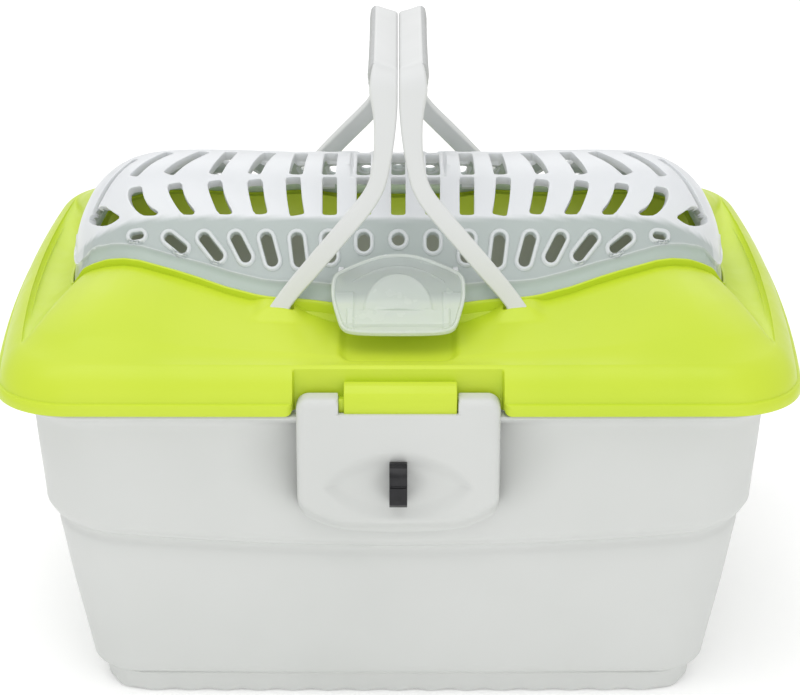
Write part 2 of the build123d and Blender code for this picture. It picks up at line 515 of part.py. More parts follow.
for name, shape in nodes.items():
    moved = Pos(0, Y_SHIFT, 0) * shape
    export_step(moved, "parts/" + name + ".step")
    bb = moved.bounding_box()
    print(name, len(moved.solids()), [round(v, 2) for v in (*bb.min, *bb.max)])
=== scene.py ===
import math
import bpy
import bmesh
import numpy as np
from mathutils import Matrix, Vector
from mathutils.bvhtree import BVHTree
from mathutils.geometry import delaunay_2d_cdt


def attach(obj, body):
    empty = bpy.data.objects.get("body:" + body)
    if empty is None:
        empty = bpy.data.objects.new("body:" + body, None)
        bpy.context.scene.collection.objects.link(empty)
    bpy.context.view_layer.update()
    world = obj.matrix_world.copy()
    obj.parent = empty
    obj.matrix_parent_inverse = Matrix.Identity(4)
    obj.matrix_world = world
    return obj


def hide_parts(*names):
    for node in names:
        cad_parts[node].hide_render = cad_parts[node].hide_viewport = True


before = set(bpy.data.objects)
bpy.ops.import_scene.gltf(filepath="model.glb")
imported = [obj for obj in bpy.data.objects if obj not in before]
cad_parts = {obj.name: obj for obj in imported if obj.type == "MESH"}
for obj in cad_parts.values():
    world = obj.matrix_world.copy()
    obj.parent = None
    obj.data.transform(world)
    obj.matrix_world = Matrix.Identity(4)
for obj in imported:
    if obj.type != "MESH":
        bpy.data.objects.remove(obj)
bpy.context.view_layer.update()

YS = 3.0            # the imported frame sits 3 mm further back than the numbers below

# ------------------------------------------------------------------ dimensions, millimetres
FOOT0 = (165.5, 159.5, 137.0, 136.0, 24.0)
FOOT1 = (167.5, 161.5, 138.5, 137.5, 25.0)
WALL0 = (174.0, 168.0, 142.0, 140.0, 30.0)
WALL1 = (190.0, 183.5, 149.0, 145.5, 38.0)
WALL2 = (195.5, 189.0, 153.0, 149.5, 42.0)
WALL3 = (199.5, 193.0, 156.5, 153.5, 44.0)
FLANGE = (214.0, 204.0, 162.0, 161.0, 42.0)
LIP = (220.0, 210.0, 165.0, 164.5, 42.0)
LIP_TOP = (219.0, 209.0, 164.0, 163.5, 41.0)
CREASE = (206.0, 196.5, 151.0, 150.5, 36.0)
CAM = np.array([0.0, -1349.95, 695.3])
PX0, PY0, FOCAL, TILT = 398.3, 347.5, 2500.0, math.radians(22.0)


# ------------------------------------------------------------------ materials
def new_mat(name):
    m = bpy.data.materials.new(name)
    m.use_nodes = True
    nt = m.node_tree
    bsdf = next(n for n in nt.nodes if n.type == "BSDF_PRINCIPLED")
    return m, nt, bsdf


def noise(nt, coord, scale, detail=3.0, rough=0.55):
    n = nt.nodes.new("ShaderNodeTexNoise")
    n.inputs["Scale"].default_value = scale
    n.inputs["Detail"].default_value = detail
    n.inputs["Roughness"].default_value = rough
    nt.links.new(coord, n.inputs["Vector"])
    return n.outputs["Fac"]


def ramp(nt, fac, stops):
    r = nt.nodes.new("ShaderNodeValToRGB")
    el = r.color_ramp.elements
    while len(el) < len(stops):
        el.new(0.5)
    for e, (p, c) in zip(el, stops):
        e.position = p
        e.color = (*c, 1.0)
    nt.links.new(fac, r.inputs["Fac"])
    return r.outputs["Color"]


def map_range(nt, fac, lo, hi, a=0.0, b=1.0):
    m = nt.nodes.new("ShaderNodeMapRange")
    m.inputs["From Min"].default_value = a
    m.inputs["From Max"].default_value = b
    m.inputs["To Min"].default_value = lo
    m.inputs["To Max"].default_value = hi
    nt.links.new(fac, m.inputs["Value"])
    return m.outputs["Result"]


def bump(nt, bsdf, height, strength, dist):
    b = nt.nodes.new("ShaderNodeBump")
    b.inputs["Strength"].default_value = strength
    b.inputs["Distance"].default_value = dist
    nt.links.new(height, b.inputs["Height"])
    nt.links.new(b.outputs["Normal"], bsdf.inputs["Normal"])


def plastic(name, low, mid, high, rough, grain=900.0, strength=0.12, spec=0.5, sss=0.0):
    """Moulded plastic: slow colour drift, fine spark-eroded grain, roughness that varies a little."""
    m, nt, bsdf = new_mat(name)
    co = nt.nodes.new("ShaderNodeTexCoord").outputs["Object"]
    slow = noise(nt, co, 9.0, 2.0)
    nt.links.new(ramp(nt, slow, [(0.3, low), (0.5, mid), (0.72, high)]), bsdf.inputs["Base Color"])
    fine = noise(nt, co, grain, 4.0, 0.6)
    nt.links.new(map_range(nt, noise(nt, co, 60.0), rough - 0.05, rough + 0.06, 0.3, 0.7), bsdf.inputs["Roughness"])
    bump(nt, bsdf, fine, strength, 0.00012)
    bsdf.inputs["Specular IOR Level"].default_value = spec
    if sss:
        bsdf.inputs["Subsurface Weight"].default_value = sss
        bsdf.inputs["Subsurface Radius"].default_value = (0.8, 1.0, 0.4)
        bsdf.inputs["Subsurface Scale"].default_value = 0.004
    return m


LIME = plastic("lime_moulded", (0.522, 0.670, 0.025), (0.552, 0.690, 0.031), (0.578, 0.706, 0.039), 0.38,
               grain=1100.0, strength=0.10, spec=0.45)
GREY = plastic("light_grey_moulded", (0.590, 0.605, 0.586), (0.610, 0.624, 0.606), (0.628, 0.640, 0.624), 0.46,
               grain=1400.0, strength=0.14, spec=0.4)
GREY_H = plastic("handle_grey_moulded", (0.640, 0.652, 0.650), (0.660, 0.671, 0.668), (0.678, 0.688, 0.686), 0.40,
                 grain=1400.0, strength=0.10, spec=0.45)


def milky(name, dark_tone, thick, a_thin, a_thick, rough, attr=None, band=None, a_band=None):
    """Milky translucent plastic: part of the light passes, thinner zones show more of what is behind. On the flap the
    attribute's darker tone is partly painted shade; on the tab the paler tone also paints a highlight line on the rim.
    """
    m, nt, bsdf = new_mat(name)
    co = nt.nodes.new("ShaderNodeTexCoord").outputs["Object"]
    slow = noise(nt, co, 14.0, 2.0)
    if attr:
        at = nt.nodes.new("ShaderNodeAttribute")
        at.attribute_name = attr
        mix = nt.nodes.new("ShaderNodeMath")
        mix.operation = "MULTIPLY_ADD"
        nt.links.new(slow, mix.inputs[0])
        mix.inputs[1].default_value = 0.04
        nt.links.new(at.outputs["Fac"], mix.inputs[2])
        drive = mix.outputs[0]
    else:
        drive = slow
    if attr:
        half = map_range(nt, drive, 0.0, 1.0, 0.0, 2.0)
        nt.links.new(ramp(nt, half, [(0.03, thick), (0.5, dark_tone), (0.58, dark_tone), (0.9, band)]), bsdf.inputs["Base Color"])
        g = lambda a: (a, a, a)
        nt.links.new(ramp(nt, half, [(0.03, g(a_thick)), (0.5, g(a_thin)), (0.58, g(a_thin)), (0.9, g(a_band))]),
                     bsdf.inputs["Alpha"])
    else:
        nt.links.new(ramp(nt, drive, [(0.3, thick), (0.7, dark_tone)]), bsdf.inputs["Base Color"])
        nt.links.new(map_range(nt, drive, a_thick, a_thin, 0.05, 1.0), bsdf.inputs["Alpha"])
    nt.links.new(map_range(nt, noise(nt, co, 70.0), rough - 0.015, rough + 0.02, 0.3, 0.7), bsdf.inputs["Roughness"])
    bump(nt, bsdf, noise(nt, co, 1300.0, 3.0), 0.08, 0.0001)
    bsdf.inputs["Specular IOR Level"].default_value = 0.5
    bsdf.inputs["Subsurface Weight"].default_value = 0.35
    bsdf.inputs["Subsurface Radius"].default_value = (1.0, 1.0, 1.0)
    bsdf.inputs["Subsurface Scale"].default_value = 0.006
    return m


# flap: the darker first colour is partly painted shade on the lower face, turned away from the top light; tab: the
# paler second colour also paints the rim's highlight line
MILK = milky("milky_flap", (0.475, 0.530, 0.515), (0.730, 0.750, 0.775), 0.84, 0.97, 0.30, attr="lower",
             band=(0.520, 0.610, 0.560), a_band=0.70)
TABM = milky("milky_tab", (0.540, 0.590, 0.570), (0.745, 0.800, 0.755), 0.54, 0.62, 0.26, attr="lower",
             band=(0.540, 0.590, 0.570), a_band=0.54)


def simple(name, low, high, rough, metal=0.0, spec=0.5, grain=700.0, strength=0.1, stretch=None):
    m, nt, bsdf = new_mat(name)
    co = nt.nodes.new("ShaderNodeTexCoord").outputs["Object"]
    if stretch:
        mp = nt.nodes.new("ShaderNodeMapping")
        mp.inputs["Scale"].default_value = stretch
        nt.links.new(co, mp.inputs["Vector"])
        co = mp.outputs["Vector"]
    nt.links.new(ramp(nt, noise(nt, co, grain * 0.3), [(0.3, low), (0.7, high)]), bsdf.inputs["Base Color"])
    nt.links.new(map_range(nt, noise(nt, co, grain * 0.5), rough - 0.05, rough + 0.07, 0.3, 0.7), bsdf.inputs["Roughness"])
    bump(nt, bsdf, noise(nt, co, grain), strength, 0.0001)
    bsdf.inputs["Metallic"].default_value = metal
    bsdf.inputs["Specular IOR Level"].default_value = spec
    return m


BLACK = simple("black_gloss", (0.010, 0.010, 0.011), (0.018, 0.018, 0.020), 0.20, spec=0.3, grain=500.0, strength=0.05)
PAD = simple("soft_grip", (0.445, 0.455, 0.455), (0.52, 0.53, 0.53), 0.62, spec=0.3, grain=1600.0, strength=0.35)
STEEL = simple("turned_steel", (0.52, 0.52, 0.54), (0.66, 0.66, 0.68), 0.30, metal=1.0, grain=900.0, strength=0.12,
               stretch=(1.0, 1.0, 6.0))
CAM_MAT = plastic("lime_cam", (0.47, 0.65, 0.022), (0.50, 0.68, 0.028), (0.53, 0.70, 0.034), 0.42)


# ------------------------------------------------------------------ mesh helpers
def build(name, V, F, mat, body, replaces=(), angle=32.0, attrs=None):
    V = np.asarray(V, float)
    co = np.empty_like(V)
    co[:, 0] = V[:, 0] * 0.001
    co[:, 1] = (V[:, 1] + YS) * 0.001
    co[:, 2] = V[:, 2] * 0.001
    me = bpy.data.meshes.new(name)
    me.from_pydata(co.tolist(), [], [tuple(int(i) for i in f) for f in F])
    if attrs:
        for key, val in attrs.items():
            a = me.attributes.new(key, "FLOAT", "POINT")
            a.data.foreach_set("value", np.asarray(val, float).tolist())
    bm = bmesh.new()
    bm.from_mesh(me)
    bmesh.ops.dissolve_degenerate(bm, dist=1e-7, edges=bm.edges)
    loose = [v for v in bm.verts if not v.link_faces]
    if loose:
        bmesh.ops.delete(bm, geom=loose, context="VERTS")
    bmesh.ops.recalc_face_normals(bm, faces=bm.faces)
    bm.to_mesh(me)
    bm.free()
    me.polygons.foreach_set("use_smooth", [True] * len(me.polygons))
    me.set_sharp_from_angle(angle=math.radians(angle))
    me.materials.append(mat)
    ob = bpy.data.objects.new(name, me)
    bpy.context.scene.collection.objects.link(ob)
    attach(ob, body)
    if replaces:
        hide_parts(*replaces)
    return ob


class Bag:
    """Collects several closed shells into one mesh."""

    def __init__(self):
        self.V, self.F = [], []

    def add(self, V, F):
        o = len(self.V)
        self.V.extend([tuple(map(float, v)) for v in V])
        self.F.extend([tuple(i + o for i in f) for f in F])
        return self

    def mirrored(self, axis=0):
        V = [tuple(-c if k == axis else c for k, c in enumerate(v)) for v in self.V]
        return V, [tuple(reversed(f)) for f in self.F]


def smooth_tab(xs, ys, blur=0.0, lo=-10.0, hi=260.0):
    grid = np.arange(lo, hi, 0.5)
    val = np.interp(np.abs(grid), xs, ys)
    if blur > 0:
        k = int(blur / 0.5) | 1
        w = np.hanning(k + 2)[1:-1]
        w /= w.sum()
        pad = np.pad(val, k // 2, mode="edge")
        val = np.convolve(pad, w, mode="valid")
    return lambda q: np.interp(np.abs(q), grid, val)


def brect_quarter(dims, grow=0.0):
    """Quarter of a bowed rounded rectangle, from the middle of the front to the middle of the side."""
    a, ac, b, bc, r = dims
    a, ac, b, bc, r = a + grow, ac + grow, b + grow, bc + grow, max(r + grow, 3.0)
    ks, kf = (a - ac) / bc ** 2, (b - bc) / ac ** 2
    xf, ys = ac - r, bc - r
    for _ in range(60):
        N, M = math.hypot(1, 2 * kf * xf), math.hypot(1, 2 * ks * ys)
        cx, cy = (a - ks * ys * ys) - r / M, (b - kf * xf * xf) - r / N
        xf, ys = cx / (1 - 2 * kf * r / N), cy / (1 - 2 * ks * r / M)
    N, M = math.hypot(1, 2 * kf * xf), math.hypot(1, 2 * ks * ys)
    a0, a1 = math.atan2(1 / N, 2 * kf * xf / N), math.atan2(2 * ks * ys / M, 1 / M)
    x = np.linspace(0, xf, 120)
    p = [np.stack([x, b - kf * x * x], 1)]
    t = np.linspace(a0, a1, 60)[1:-1]
    p.append(np.stack([cx + r * np.cos(t), cy + r * np.sin(t)], 1))
    y = np.linspace(ys, 0, 90)
    p.append(np.stack([a - ks * y * y, y], 1))
    return np.concatenate(p)


def opening_quarter():
    def bez(a, b, c, n=24):
        t = np.linspace(0, 1, n)[:, None]
        a, b, c = map(np.asarray, (a, b, c))
        return (1 - t) ** 2 * a + 2 * t * (1 - t) * b + t * t * c
    d = np.array([114.0, -47.0]) / math.hypot(114, 47)
    c0, c1 = np.array([64.0, 97.0]), np.array([178.0, 50.0])
    T0, T1 = 11.0, 11.5
    ys = np.linspace(50.0 - T1, 0, 60)
    side = np.stack([186.0 - 8.0 * (ys / 50.0) ** 2, ys], 1)
    x = np.linspace(0, 64 - T0, 60)
    straight = np.stack([x, np.full_like(x, 97.0)], 1)
    a = bez(straight[-1], c0, c0 + d * T0)
    e = c1 - d * T1
    mid = np.stack([np.linspace(a[-1][0], e[0], 90), np.linspace(a[-1][1], e[1], 90)], 1)
    b = bez(e, c1 + np.array([0.6, 0.3]), side[0])
    return np.concatenate([straight, a[1:], mid[1:], b[1:], side[1:]])


X1 = 130.0
N_FRONT, N_CORNER, N_SIDE = 130, 60, 44


def at_params(Q, yb):
    """Samples a quarter outline at the shared columns: fixed X at the front, then the corner, then the side."""
    order = np.argsort(Q[:, 0])
    s = np.concatenate([[0], np.cumsum(np.hypot(*np.diff(Q, axis=0).T))])
    xs = np.linspace(0, X1, N_FRONT + 1)
    k = int(np.argmax(Q[:, 0] > X1 + 1e-6))
    s1 = np.interp(X1, Q[:k + 1, 0], s[:k + 1])
    yq = Q[::-1, 1]
    s2 = np.interp(yb, yq, s[::-1])
    front = np.stack([xs, np.interp(xs, Q[:k + 1, 0], Q[:k + 1, 1])], 1)
    sc = np.linspace(s1, s2, N_CORNER + 1)[1:]
    corner = np.stack([np.interp(sc, s, Q[:, 0]), np.interp(sc, s, Q[:, 1])], 1)
    yy = np.linspace(yb, 0, N_SIDE + 1)[1:]
    side = np.stack([np.interp(yy, yq, Q[::-1, 0]), yy], 1)
    return np.concatenate([front, corner, side])


def full(P):
    """Quarter samples (x, |y|) to the closed ring, starting at the middle of the front."""
    q = np.asarray(P)
    a = np.stack([q[:, 0], -q[:, 1]], 1)
    b = np.stack([q[::-1, 0], q[::-1, 1]], 1)[1:]
    c = np.stack([-q[:, 0], q[:, 1]], 1)[1:]
    d = np.stack([-q[::-1, 0], -q[::-1, 1]], 1)[1:-1]
    return np.concatenate([a, b, c, d])


def full_scalar(v):
    v = np.asarray(v, float)
    return np.concatenate([v, v[::-1][1:], v[1:], v[::-1][1:-1]])


def ring_of(dims, grow=0.0):
    return full(at_params(brect_quarter(dims, grow), 95.0))


def grid_faces(rows, cols, close_rows=False):
    F = []
    last = rows if close_rows else rows - 1
    for r in range(last):
        r2 = (r + 1) % rows
        for c in range(cols):
            c2 = (c + 1) % cols
            F.append((r * cols + c, r * cols + c2, r2 * cols + c2, r2 * cols + c))
    return F


def smoothbox(v, lo, hi, w):
    return np.clip((v - lo) / w, 0, 1) * np.clip((hi - v) / w, 0, 1)


def sstep(v):
    v = np.clip(v, 0, 1)
    return v * v * (3 - 2 * v)


OPEN_Q = opening_quarter()
OPEN_P = at_params(OPEN_Q, 34.0)
OPEN = full(OPEN_P)
_t = np.roll(OPEN, -1, 0) - np.roll(OPEN, 1, 0)
_t /= np.hypot(_t[:, 0], _t[:, 1])[:, None]
OPEN_N = np.stack([_t[:, 1], -_t[:, 0]], 1)          # outward
NC = len(OPEN)

rim_x = smooth_tab([0, 20, 36, 45, 55, 66, 76, 93, 109, 120, 131, 141.5, 150, 160, 168.6, 176, 181],
                   [215.0, 215.1, 215.3, 216.6, 217.6, 217.7, 217.9, 219.8, 223.1, 225.0, 226.5, 227.9, 227.7, 225.6, 221.6, 216.8, 211.5], 5.0)
rim_y = smooth_tab([0, 20, 30, 40, 44, 48, 51.5, 60], [199, 199.6, 201.5, 205, 207.5, 212.5, 217.5, 223], 4.0)
step_x = smooth_tab([0, 20, 36, 45, 55, 66, 80, 100, 160, 176, 181, 186],
                    [12, 11.8, 10.2, 8, 6, 4.6, 4.1, 3.9, 4.1, 3.4, 2.2, 0.8], 5.0)


def rim_at(P):
    x, y = np.abs(P[:, 0]), np.abs(P[:, 1])
    w = sstep((x - 172.0) / 5.0)
    return rim_x(x) * (1 - w) + rim_y(y) * w


RIM = rim_at(OPEN)
STEP = step_x(OPEN[:, 0])
STEP = np.where(np.abs(OPEN[:, 1]) < 36, np.minimum(STEP, 0.8 + np.abs(OPEN[:, 1]) * 0.035), STEP)
STEP_BACK = np.minimum(STEP, 3.4)
STEP = np.where(OPEN[:, 1] > 0, STEP_BACK, STEP)


# ------------------------------------------------------------------ lid
def make_lid():
    C = ring_of(CREASE)
    L = ring_of(LIP)
    LT = ring_of(LIP_TOP)
    crest_xy = OPEN + 0.45 * OPEN_N
    crest_z = RIM - STEP
    side_w = sstep((np.abs(OPEN[:, 0]) - 178.0) / 5.0)
    corner_w = sstep((np.abs(OPEN[:, 0]) - 110.0) / 45.0) * (1 - side_w)
    expo = 1.0 + 0.75 * corner_w + 3.2 * side_w

    idx = np.arange(N_FRONT + N_CORNER + N_SIDE + 1)
    valley = full_scalar(3.4 * sstep((idx - (N_FRONT + 44)) / 5.0))

    def pillow(f):
        P = C + (crest_xy - C) * f
        g = 1 - (1 - f) ** expo
        z = 201.0 + (crest_z - 201.0) * g
        # slight hollow just above the crease
        z = z - 0.8 * np.sin(np.pi * min(f / 0.22, 1.0)) * (1 - side_w) * 0.6
        z = z - valley * np.sin(np.pi * f ** 0.75) ** 0.8
        return P, z

    def relief(P, z):
        """Pocket under the tab and the four handle sockets."""
        x, y = np.abs(P[:, 0]), P[:, 1]
        front = y < 0
        # pocket: rounded rectangle
        qx, qy = np.maximum(x - 22.5, 0), np.maximum(np.abs(y + 119.0) - 17.0, 0)
        d = 9.5 - np.hypot(qx, qy)
        z = z - np.where(front, 2.6 * sstep(d / 4.5), 0.0)
        ay = np.abs(y)
        z = z + 3.9 * np.exp(-((x - 64.5) / 12.0) ** 4) * sstep((112.5 - ay) / 9.0)
        s = smoothbox(x, 55.6, 60.5, 1.6) * smoothbox(ay, 98.8, 103.6, 1.4)
        z = z - 4.0 * sstep(s)
        return z

    rows = []

    def add(P, z):
        rows.append(np.column_stack([P, np.broadcast_to(z, (NC,))]))

    Lm = ring_of(LIP, -1.1)
    add(Lm, 177.4)
    add(ring_of(LIP, -0.35), 177.65)
    add(L, 178.5)
    add(L, 181.3)
    add(LT + (L - LT) * 0.55, 182.9)
    add(LT, 183.7)
    add(ring_of(LIP_TOP, -0.5), 183.85)
    S0 = ring_of(LIP_TOP, -1.3)
    p0, p3 = np.array([0.0, 184.1]), np.array([1.0, 201.0])
    for t in np.linspace(0, 1, 15):
        # shoulder: steep at the lip, flattening to the crease (u = share of the way in)
        b0, b1, b2, b3 = (1 - t) ** 3, 3 * t * (1 - t) ** 2, 3 * t * t * (1 - t), t ** 3
        u = b1 * 0.07 + b2 * 0.46 + b3
        z = b0 * 184.1 + b1 * 190.2 + b2 * 198.2 + b3 * 201.0
        add(S0 + (C - S0) * u, z)
    fs = np.unique(np.concatenate([np.linspace(0, 1, 46)[1:], [0.01, 0.035]]))
    for f in fs:
        P, z = pillow(f)
        add(P, relief(P, z))
    for off, k in ((0.47, 0.03), (0.62, 0.2), (0.9, 0.5), (1.15, 0.78), (1.18, 0.9), (0.98, 0.97), (0.6, 1.0), (-0.15, 1.0)):
        add(OPEN + off * OPEN_N, crest_z + STEP * k)
    for off, dz in ((-0.5, -0.4), (-0.7, -1.0), (-0.8, -3.6), (-1.1, -3.9), (-5.6, -3.9), (-6.0, -4.4), (-6.3, -17.5),
                    (-5.9, -18.0), (-4.9, -18.0), (-4.4, -17.5), (-3.9, -7.6), (-2.6, -6.7), (0.8, -6.5)):
        add(OPEN + off * OPEN_N, RIM + dz)
    for f in (0.94, 0.85, 0.7, 0.5, 0.3, 0.12, 0.03):
        P, z = pillow(f)
        z = relief(P, z)
        lim = RIM - 6.6
        add(P - 0.02 * (P - OPEN), np.minimum(z - 2.7, np.where(f > 0.8, lim, 999)))
    Cin = ring_of(CREASE, -2.6)
    add(Cin, 198.4)
    add(ring_of(CREASE, 4.4), 194.5)
    add(ring_of(LIP_TOP, -3.6), 186.0)
    add(ring_of(LIP, -2.9), 181.0)
    add(ring_of(LIP, -2.6), 178.0)
    add(ring_of(LIP, -2.2), 177.4)
    A = np.stack(rows)                      # rows x cols x 3
    # recess behind the lock housing
    x, y, z = np.abs(A[..., 0]), A[..., 1], A[..., 2]
    inner = np.zeros(A.shape[0], bool)
    inner[-6:] = True
    inner[-13:] = True
    yw = np.where(z < 198.0, 153.0 + (198.0 - z) * 0.075, 153.0)
    m = np.clip((59.3 - x) / 4.5, 0, 1)
    lim = np.where(x <= 54.8, yw, 165.0 - 4.5 * (1 - np.sqrt(np.clip(1 - m * m, 0, 1))))
    lim = np.where(x > 59.3, 999.0, lim)
    under = inner[:, None] & np.ones(A.shape[1], bool)[None, :]
    lim = np.where(under, lim - 2.6, lim)
    front = y < 0
    A[..., 1] = np.where(front, -np.minimum(-y, lim), y)
    rise = np.where((x > 54.8) & (x < 59.3) & front, 3.6 * (1 - np.sqrt(np.clip(1 - m * m, 0, 1))), 0.0)
    low = z < 181.0
    A[..., 2] = np.where(low, z + rise * (181.0 - z) / 3.6, z)
    V = A.reshape(-1, 3)
    return V, grid_faces(A.shape[0], NC, close_rows=True)


V, F = make_lid()
lid = build("lid_shell", V, F, LIME, "lid", ("lid",), angle=38.0)


# ------------------------------------------------------------------ prisms with rounded edges
def prism(poly, axis, a0, a1, r=0.8, seg=3):
    """Polygon in the two other axes, run along axis, all edges rounded by r."""
    poly = [tuple(map(float, p)) for p in poly]
    n = len(poly)
    area = sum(p[0] * q[1] - q[0] * p[1] for p, q in zip(poly, poly[1:] + poly[:1]))
    if area < 0:
        poly.reverse()
    bm = bmesh.new()

    def put(u, v, w):
        return {0: (w, u, v), 1: (u, w, v), 2: (u, v, w)}[axis]
    lo = [bm.verts.new(put(u, v, a0)) for u, v in poly]
    hi = [bm.verts.new(put(u, v, a1)) for u, v in poly]
    bm.faces.new(lo)
    bm.faces.new(list(reversed(hi)))
    for i in range(n):
        j = (i + 1) % n
        bm.faces.new((lo[i], hi[i], hi[j], lo[j]))
    bmesh.ops.recalc_face_normals(bm, faces=bm.faces)
    if r > 0:
        bm.normal_update()
        sharp = [e for e in bm.edges if e.calc_face_angle(0) > math.radians(24)]
        bmesh.ops.bevel(bm, geom=sharp, offset=r, segments=seg, profile=0.5, affect="EDGES", clamp_overlap=True)
    bm.verts.ensure_lookup_table()
    V = [tuple(v.co) for v in bm.verts]
    bm.verts.index_update()
    F = [tuple(v.index for v in f.verts) for f in bm.faces]
    bm.free()
    return V, F


def disc(cx, cy, r, n=28, a0=0.0, a1=2 * math.pi):
    return [(cx + r * math.cos(a0 + (a1 - a0) * k / n), cy + r * math.sin(a0 + (a1 - a0) * k / n)) for k in range(n)]


def inside(poly, P):
    """Vectorised point in polygon."""
    poly = np.asarray(poly)
    x, y = P[:, 0], P[:, 1]
    res = np.zeros(len(P), bool)
    x0, y0 = poly[:, 0], poly[:, 1]
    xb, yb = np.roll(x0, -1), np.roll(y0, -1)
    for a, b, c, d in zip(x0, y0, xb, yb):
        if b == d:
            continue
        hit = (b > y) != (d > y)
        res ^= hit & (x < (c - a) * (y - b) / (d - b) + a)
    return res


def dist_to(poly, P, closed=True):
    poly = np.asarray(poly, float)
    q = np.roll(poly, -1, 0) if closed else poly[1:]
    p = poly if closed else poly[:-1]
    best = np.full(len(P), 1e9)
    idx = np.zeros(len(P), int)
    for k, (a, b) in enumerate(zip(p, q)):
        ab = b - a
        L = max(float(ab @ ab), 1e-12)
        t = np.clip(((P - a) @ ab) / L, 0, 1)
        d = np.hypot(*(P - a - t[:, None] * ab).T)
        m = d < best
        best[m] = d[m]
        idx[m] = k
    return best, idx


def cdt(outer, holes, rings, pts):
    """Triangles of a plane region. Returns points, faces and, for each point, its input index or -1."""
    coords, edges = [], []
    for L in [outer] + holes + rings:
        i0, n = len(coords), len(L)
        coords += [Vector((float(p[0]), float(p[1]))) for p in L]
        edges += [(i0 + k, i0 + (k + 1) % n) for k in range(n)]
    coords += [Vector((float(p[0]), float(p[1]))) for p in pts]
    v, e, f, ov = delaunay_2d_cdt(coords, edges, [], 0, 1e-4)[:4]
    v = np.array([tuple(q) for q in v])
    f = np.array([tuple(q) for q in f], int)
    cen = v[f].mean(1)
    ok = inside(outer, cen)
    for h in holes:
        lo, hi = np.min(h, 0), np.max(h, 0)
        near = ok & (cen[:, 0] > lo[0]) & (cen[:, 0] < hi[0]) & (cen[:, 1] > lo[1]) & (cen[:, 1] < hi[1])
        ii = np.nonzero(near)[0]
        if len(ii):
            ok[ii[inside(h, cen[ii])]] = False
    src = np.array([o[0] if len(o) else -1 for o in ov], int)
    return v, f[ok], src


def shell(top, bot, f):
    """Closed shell from a triangulated top and its matching bottom."""
    n = len(top)
    cnt = {}
    for a, b, c in f:
        for p, q in ((a, b), (b, c), (c, a)):
            cnt[(p, q)] = cnt.get((p, q), 0) + 1
    F = [tuple(t) for t in f] + [(c + n, b + n, a + n) for a, b, c in f]
    for (p, q) in cnt:
        if (q, p) not in cnt:
            F.append((q, p, p + n, q + n))
    return np.concatenate([top, bot]), F


# tongue, its rib and the plate with the keyhole
bag = Bag()
bag.add(*prism([(-166.2, 178.6), (-166.2, 186.8), (-164.7, 190.6), (-161.2, 193.6), (-157.4, 194.4), (-151.0, 191.9),
                (-150.5, 188.0), (-157.9, 178.6)], 0, -28.2, 30.4, 0.7))
bag.add(*prism([(-163.6, 178.9), (-163.6, 187.0), (-153.0, 184.6), (-153.0, 179.4)], 0, -31.0, -27.6, 0.5))
n_arc = 40
key = [(17.2 * math.sin(a), 141.0 + 17.2 * math.cos(a)) for a in np.linspace(-2.772, 2.772, n_arc)]
key += [(6.2, 120.0), (-6.2, 120.0)]
edge = [(-30, 120.5), (-28.5, 119.5), (-6.3, 119.5), (-6.2, 120.0)]
outline = [(-30.0, 180.0)] + [(-30.0, 121.5), (-29.0, 120.4), (-6.2, 120.4)] + \
          [(17.2 * math.sin(a), 141.0 + 17.2 * math.cos(a)) for a in np.linspace(-2.772, 2.772, n_arc)] + \
          [(6.2, 120.4), (29.0, 120.4), (30.0, 121.5), (30.0, 180.0)]
gx, gz = np.meshgrid(np.arange(-28, 29, 3.0), np.arange(123, 180, 3.0))
G = np.column_stack([gx.ravel(), gz.ravel()])
G = G[inside(outline, G) & (dist_to(outline, G)[0] > 1.0)]
pv, pf, _ = cdt(outline, [], [], G)
top = np.column_stack([pv[:, 0], np.full(len(pv), -160.8), pv[:, 1]])
bot = np.column_stack([pv[:, 0], np.full(len(pv), -158.0), pv[:, 1]])
bag.add(*shell(top, bot, pf))
build("lid_tongue", bag.V, bag.F, LIME, "lid", (), angle=30.0)

# lid-side knuckles of both hinges
bag = Bag()
for sx in (-1, 1):
    x0, x1 = sx * 112.0 - 11.0, sx * 112.0 + 11.0
    bag.add(*prism(disc(166.5, 171.9, 5.0, 32), 0, x0, x1, 0.5, 2))
    bag.add(*prism([(170.6, 173.6), (168.9, 180.0), (157.5, 180.0), (157.5, 178.0), (162.3, 174.4)], 0, x0 + 0.4, x1 - 0.4, 0.4, 2))
    for dx in (-8.6, 8.6):
        x = sx * 44.0 + dx
        bag.add(*prism(disc(101.5, 214.5, 4.6, 28), 0, x - 2.0, x + 2.0, 0.5, 2))
        bag.add(*prism([(97.6, 207.5), (97.6, 214.5), (105.4, 214.5), (107.4, 207.5)], 0, x - 1.9, x + 1.9, 0.4, 2))
build("lid_knuckles", bag.V, bag.F, LIME, "lid", (), angle=30.0)


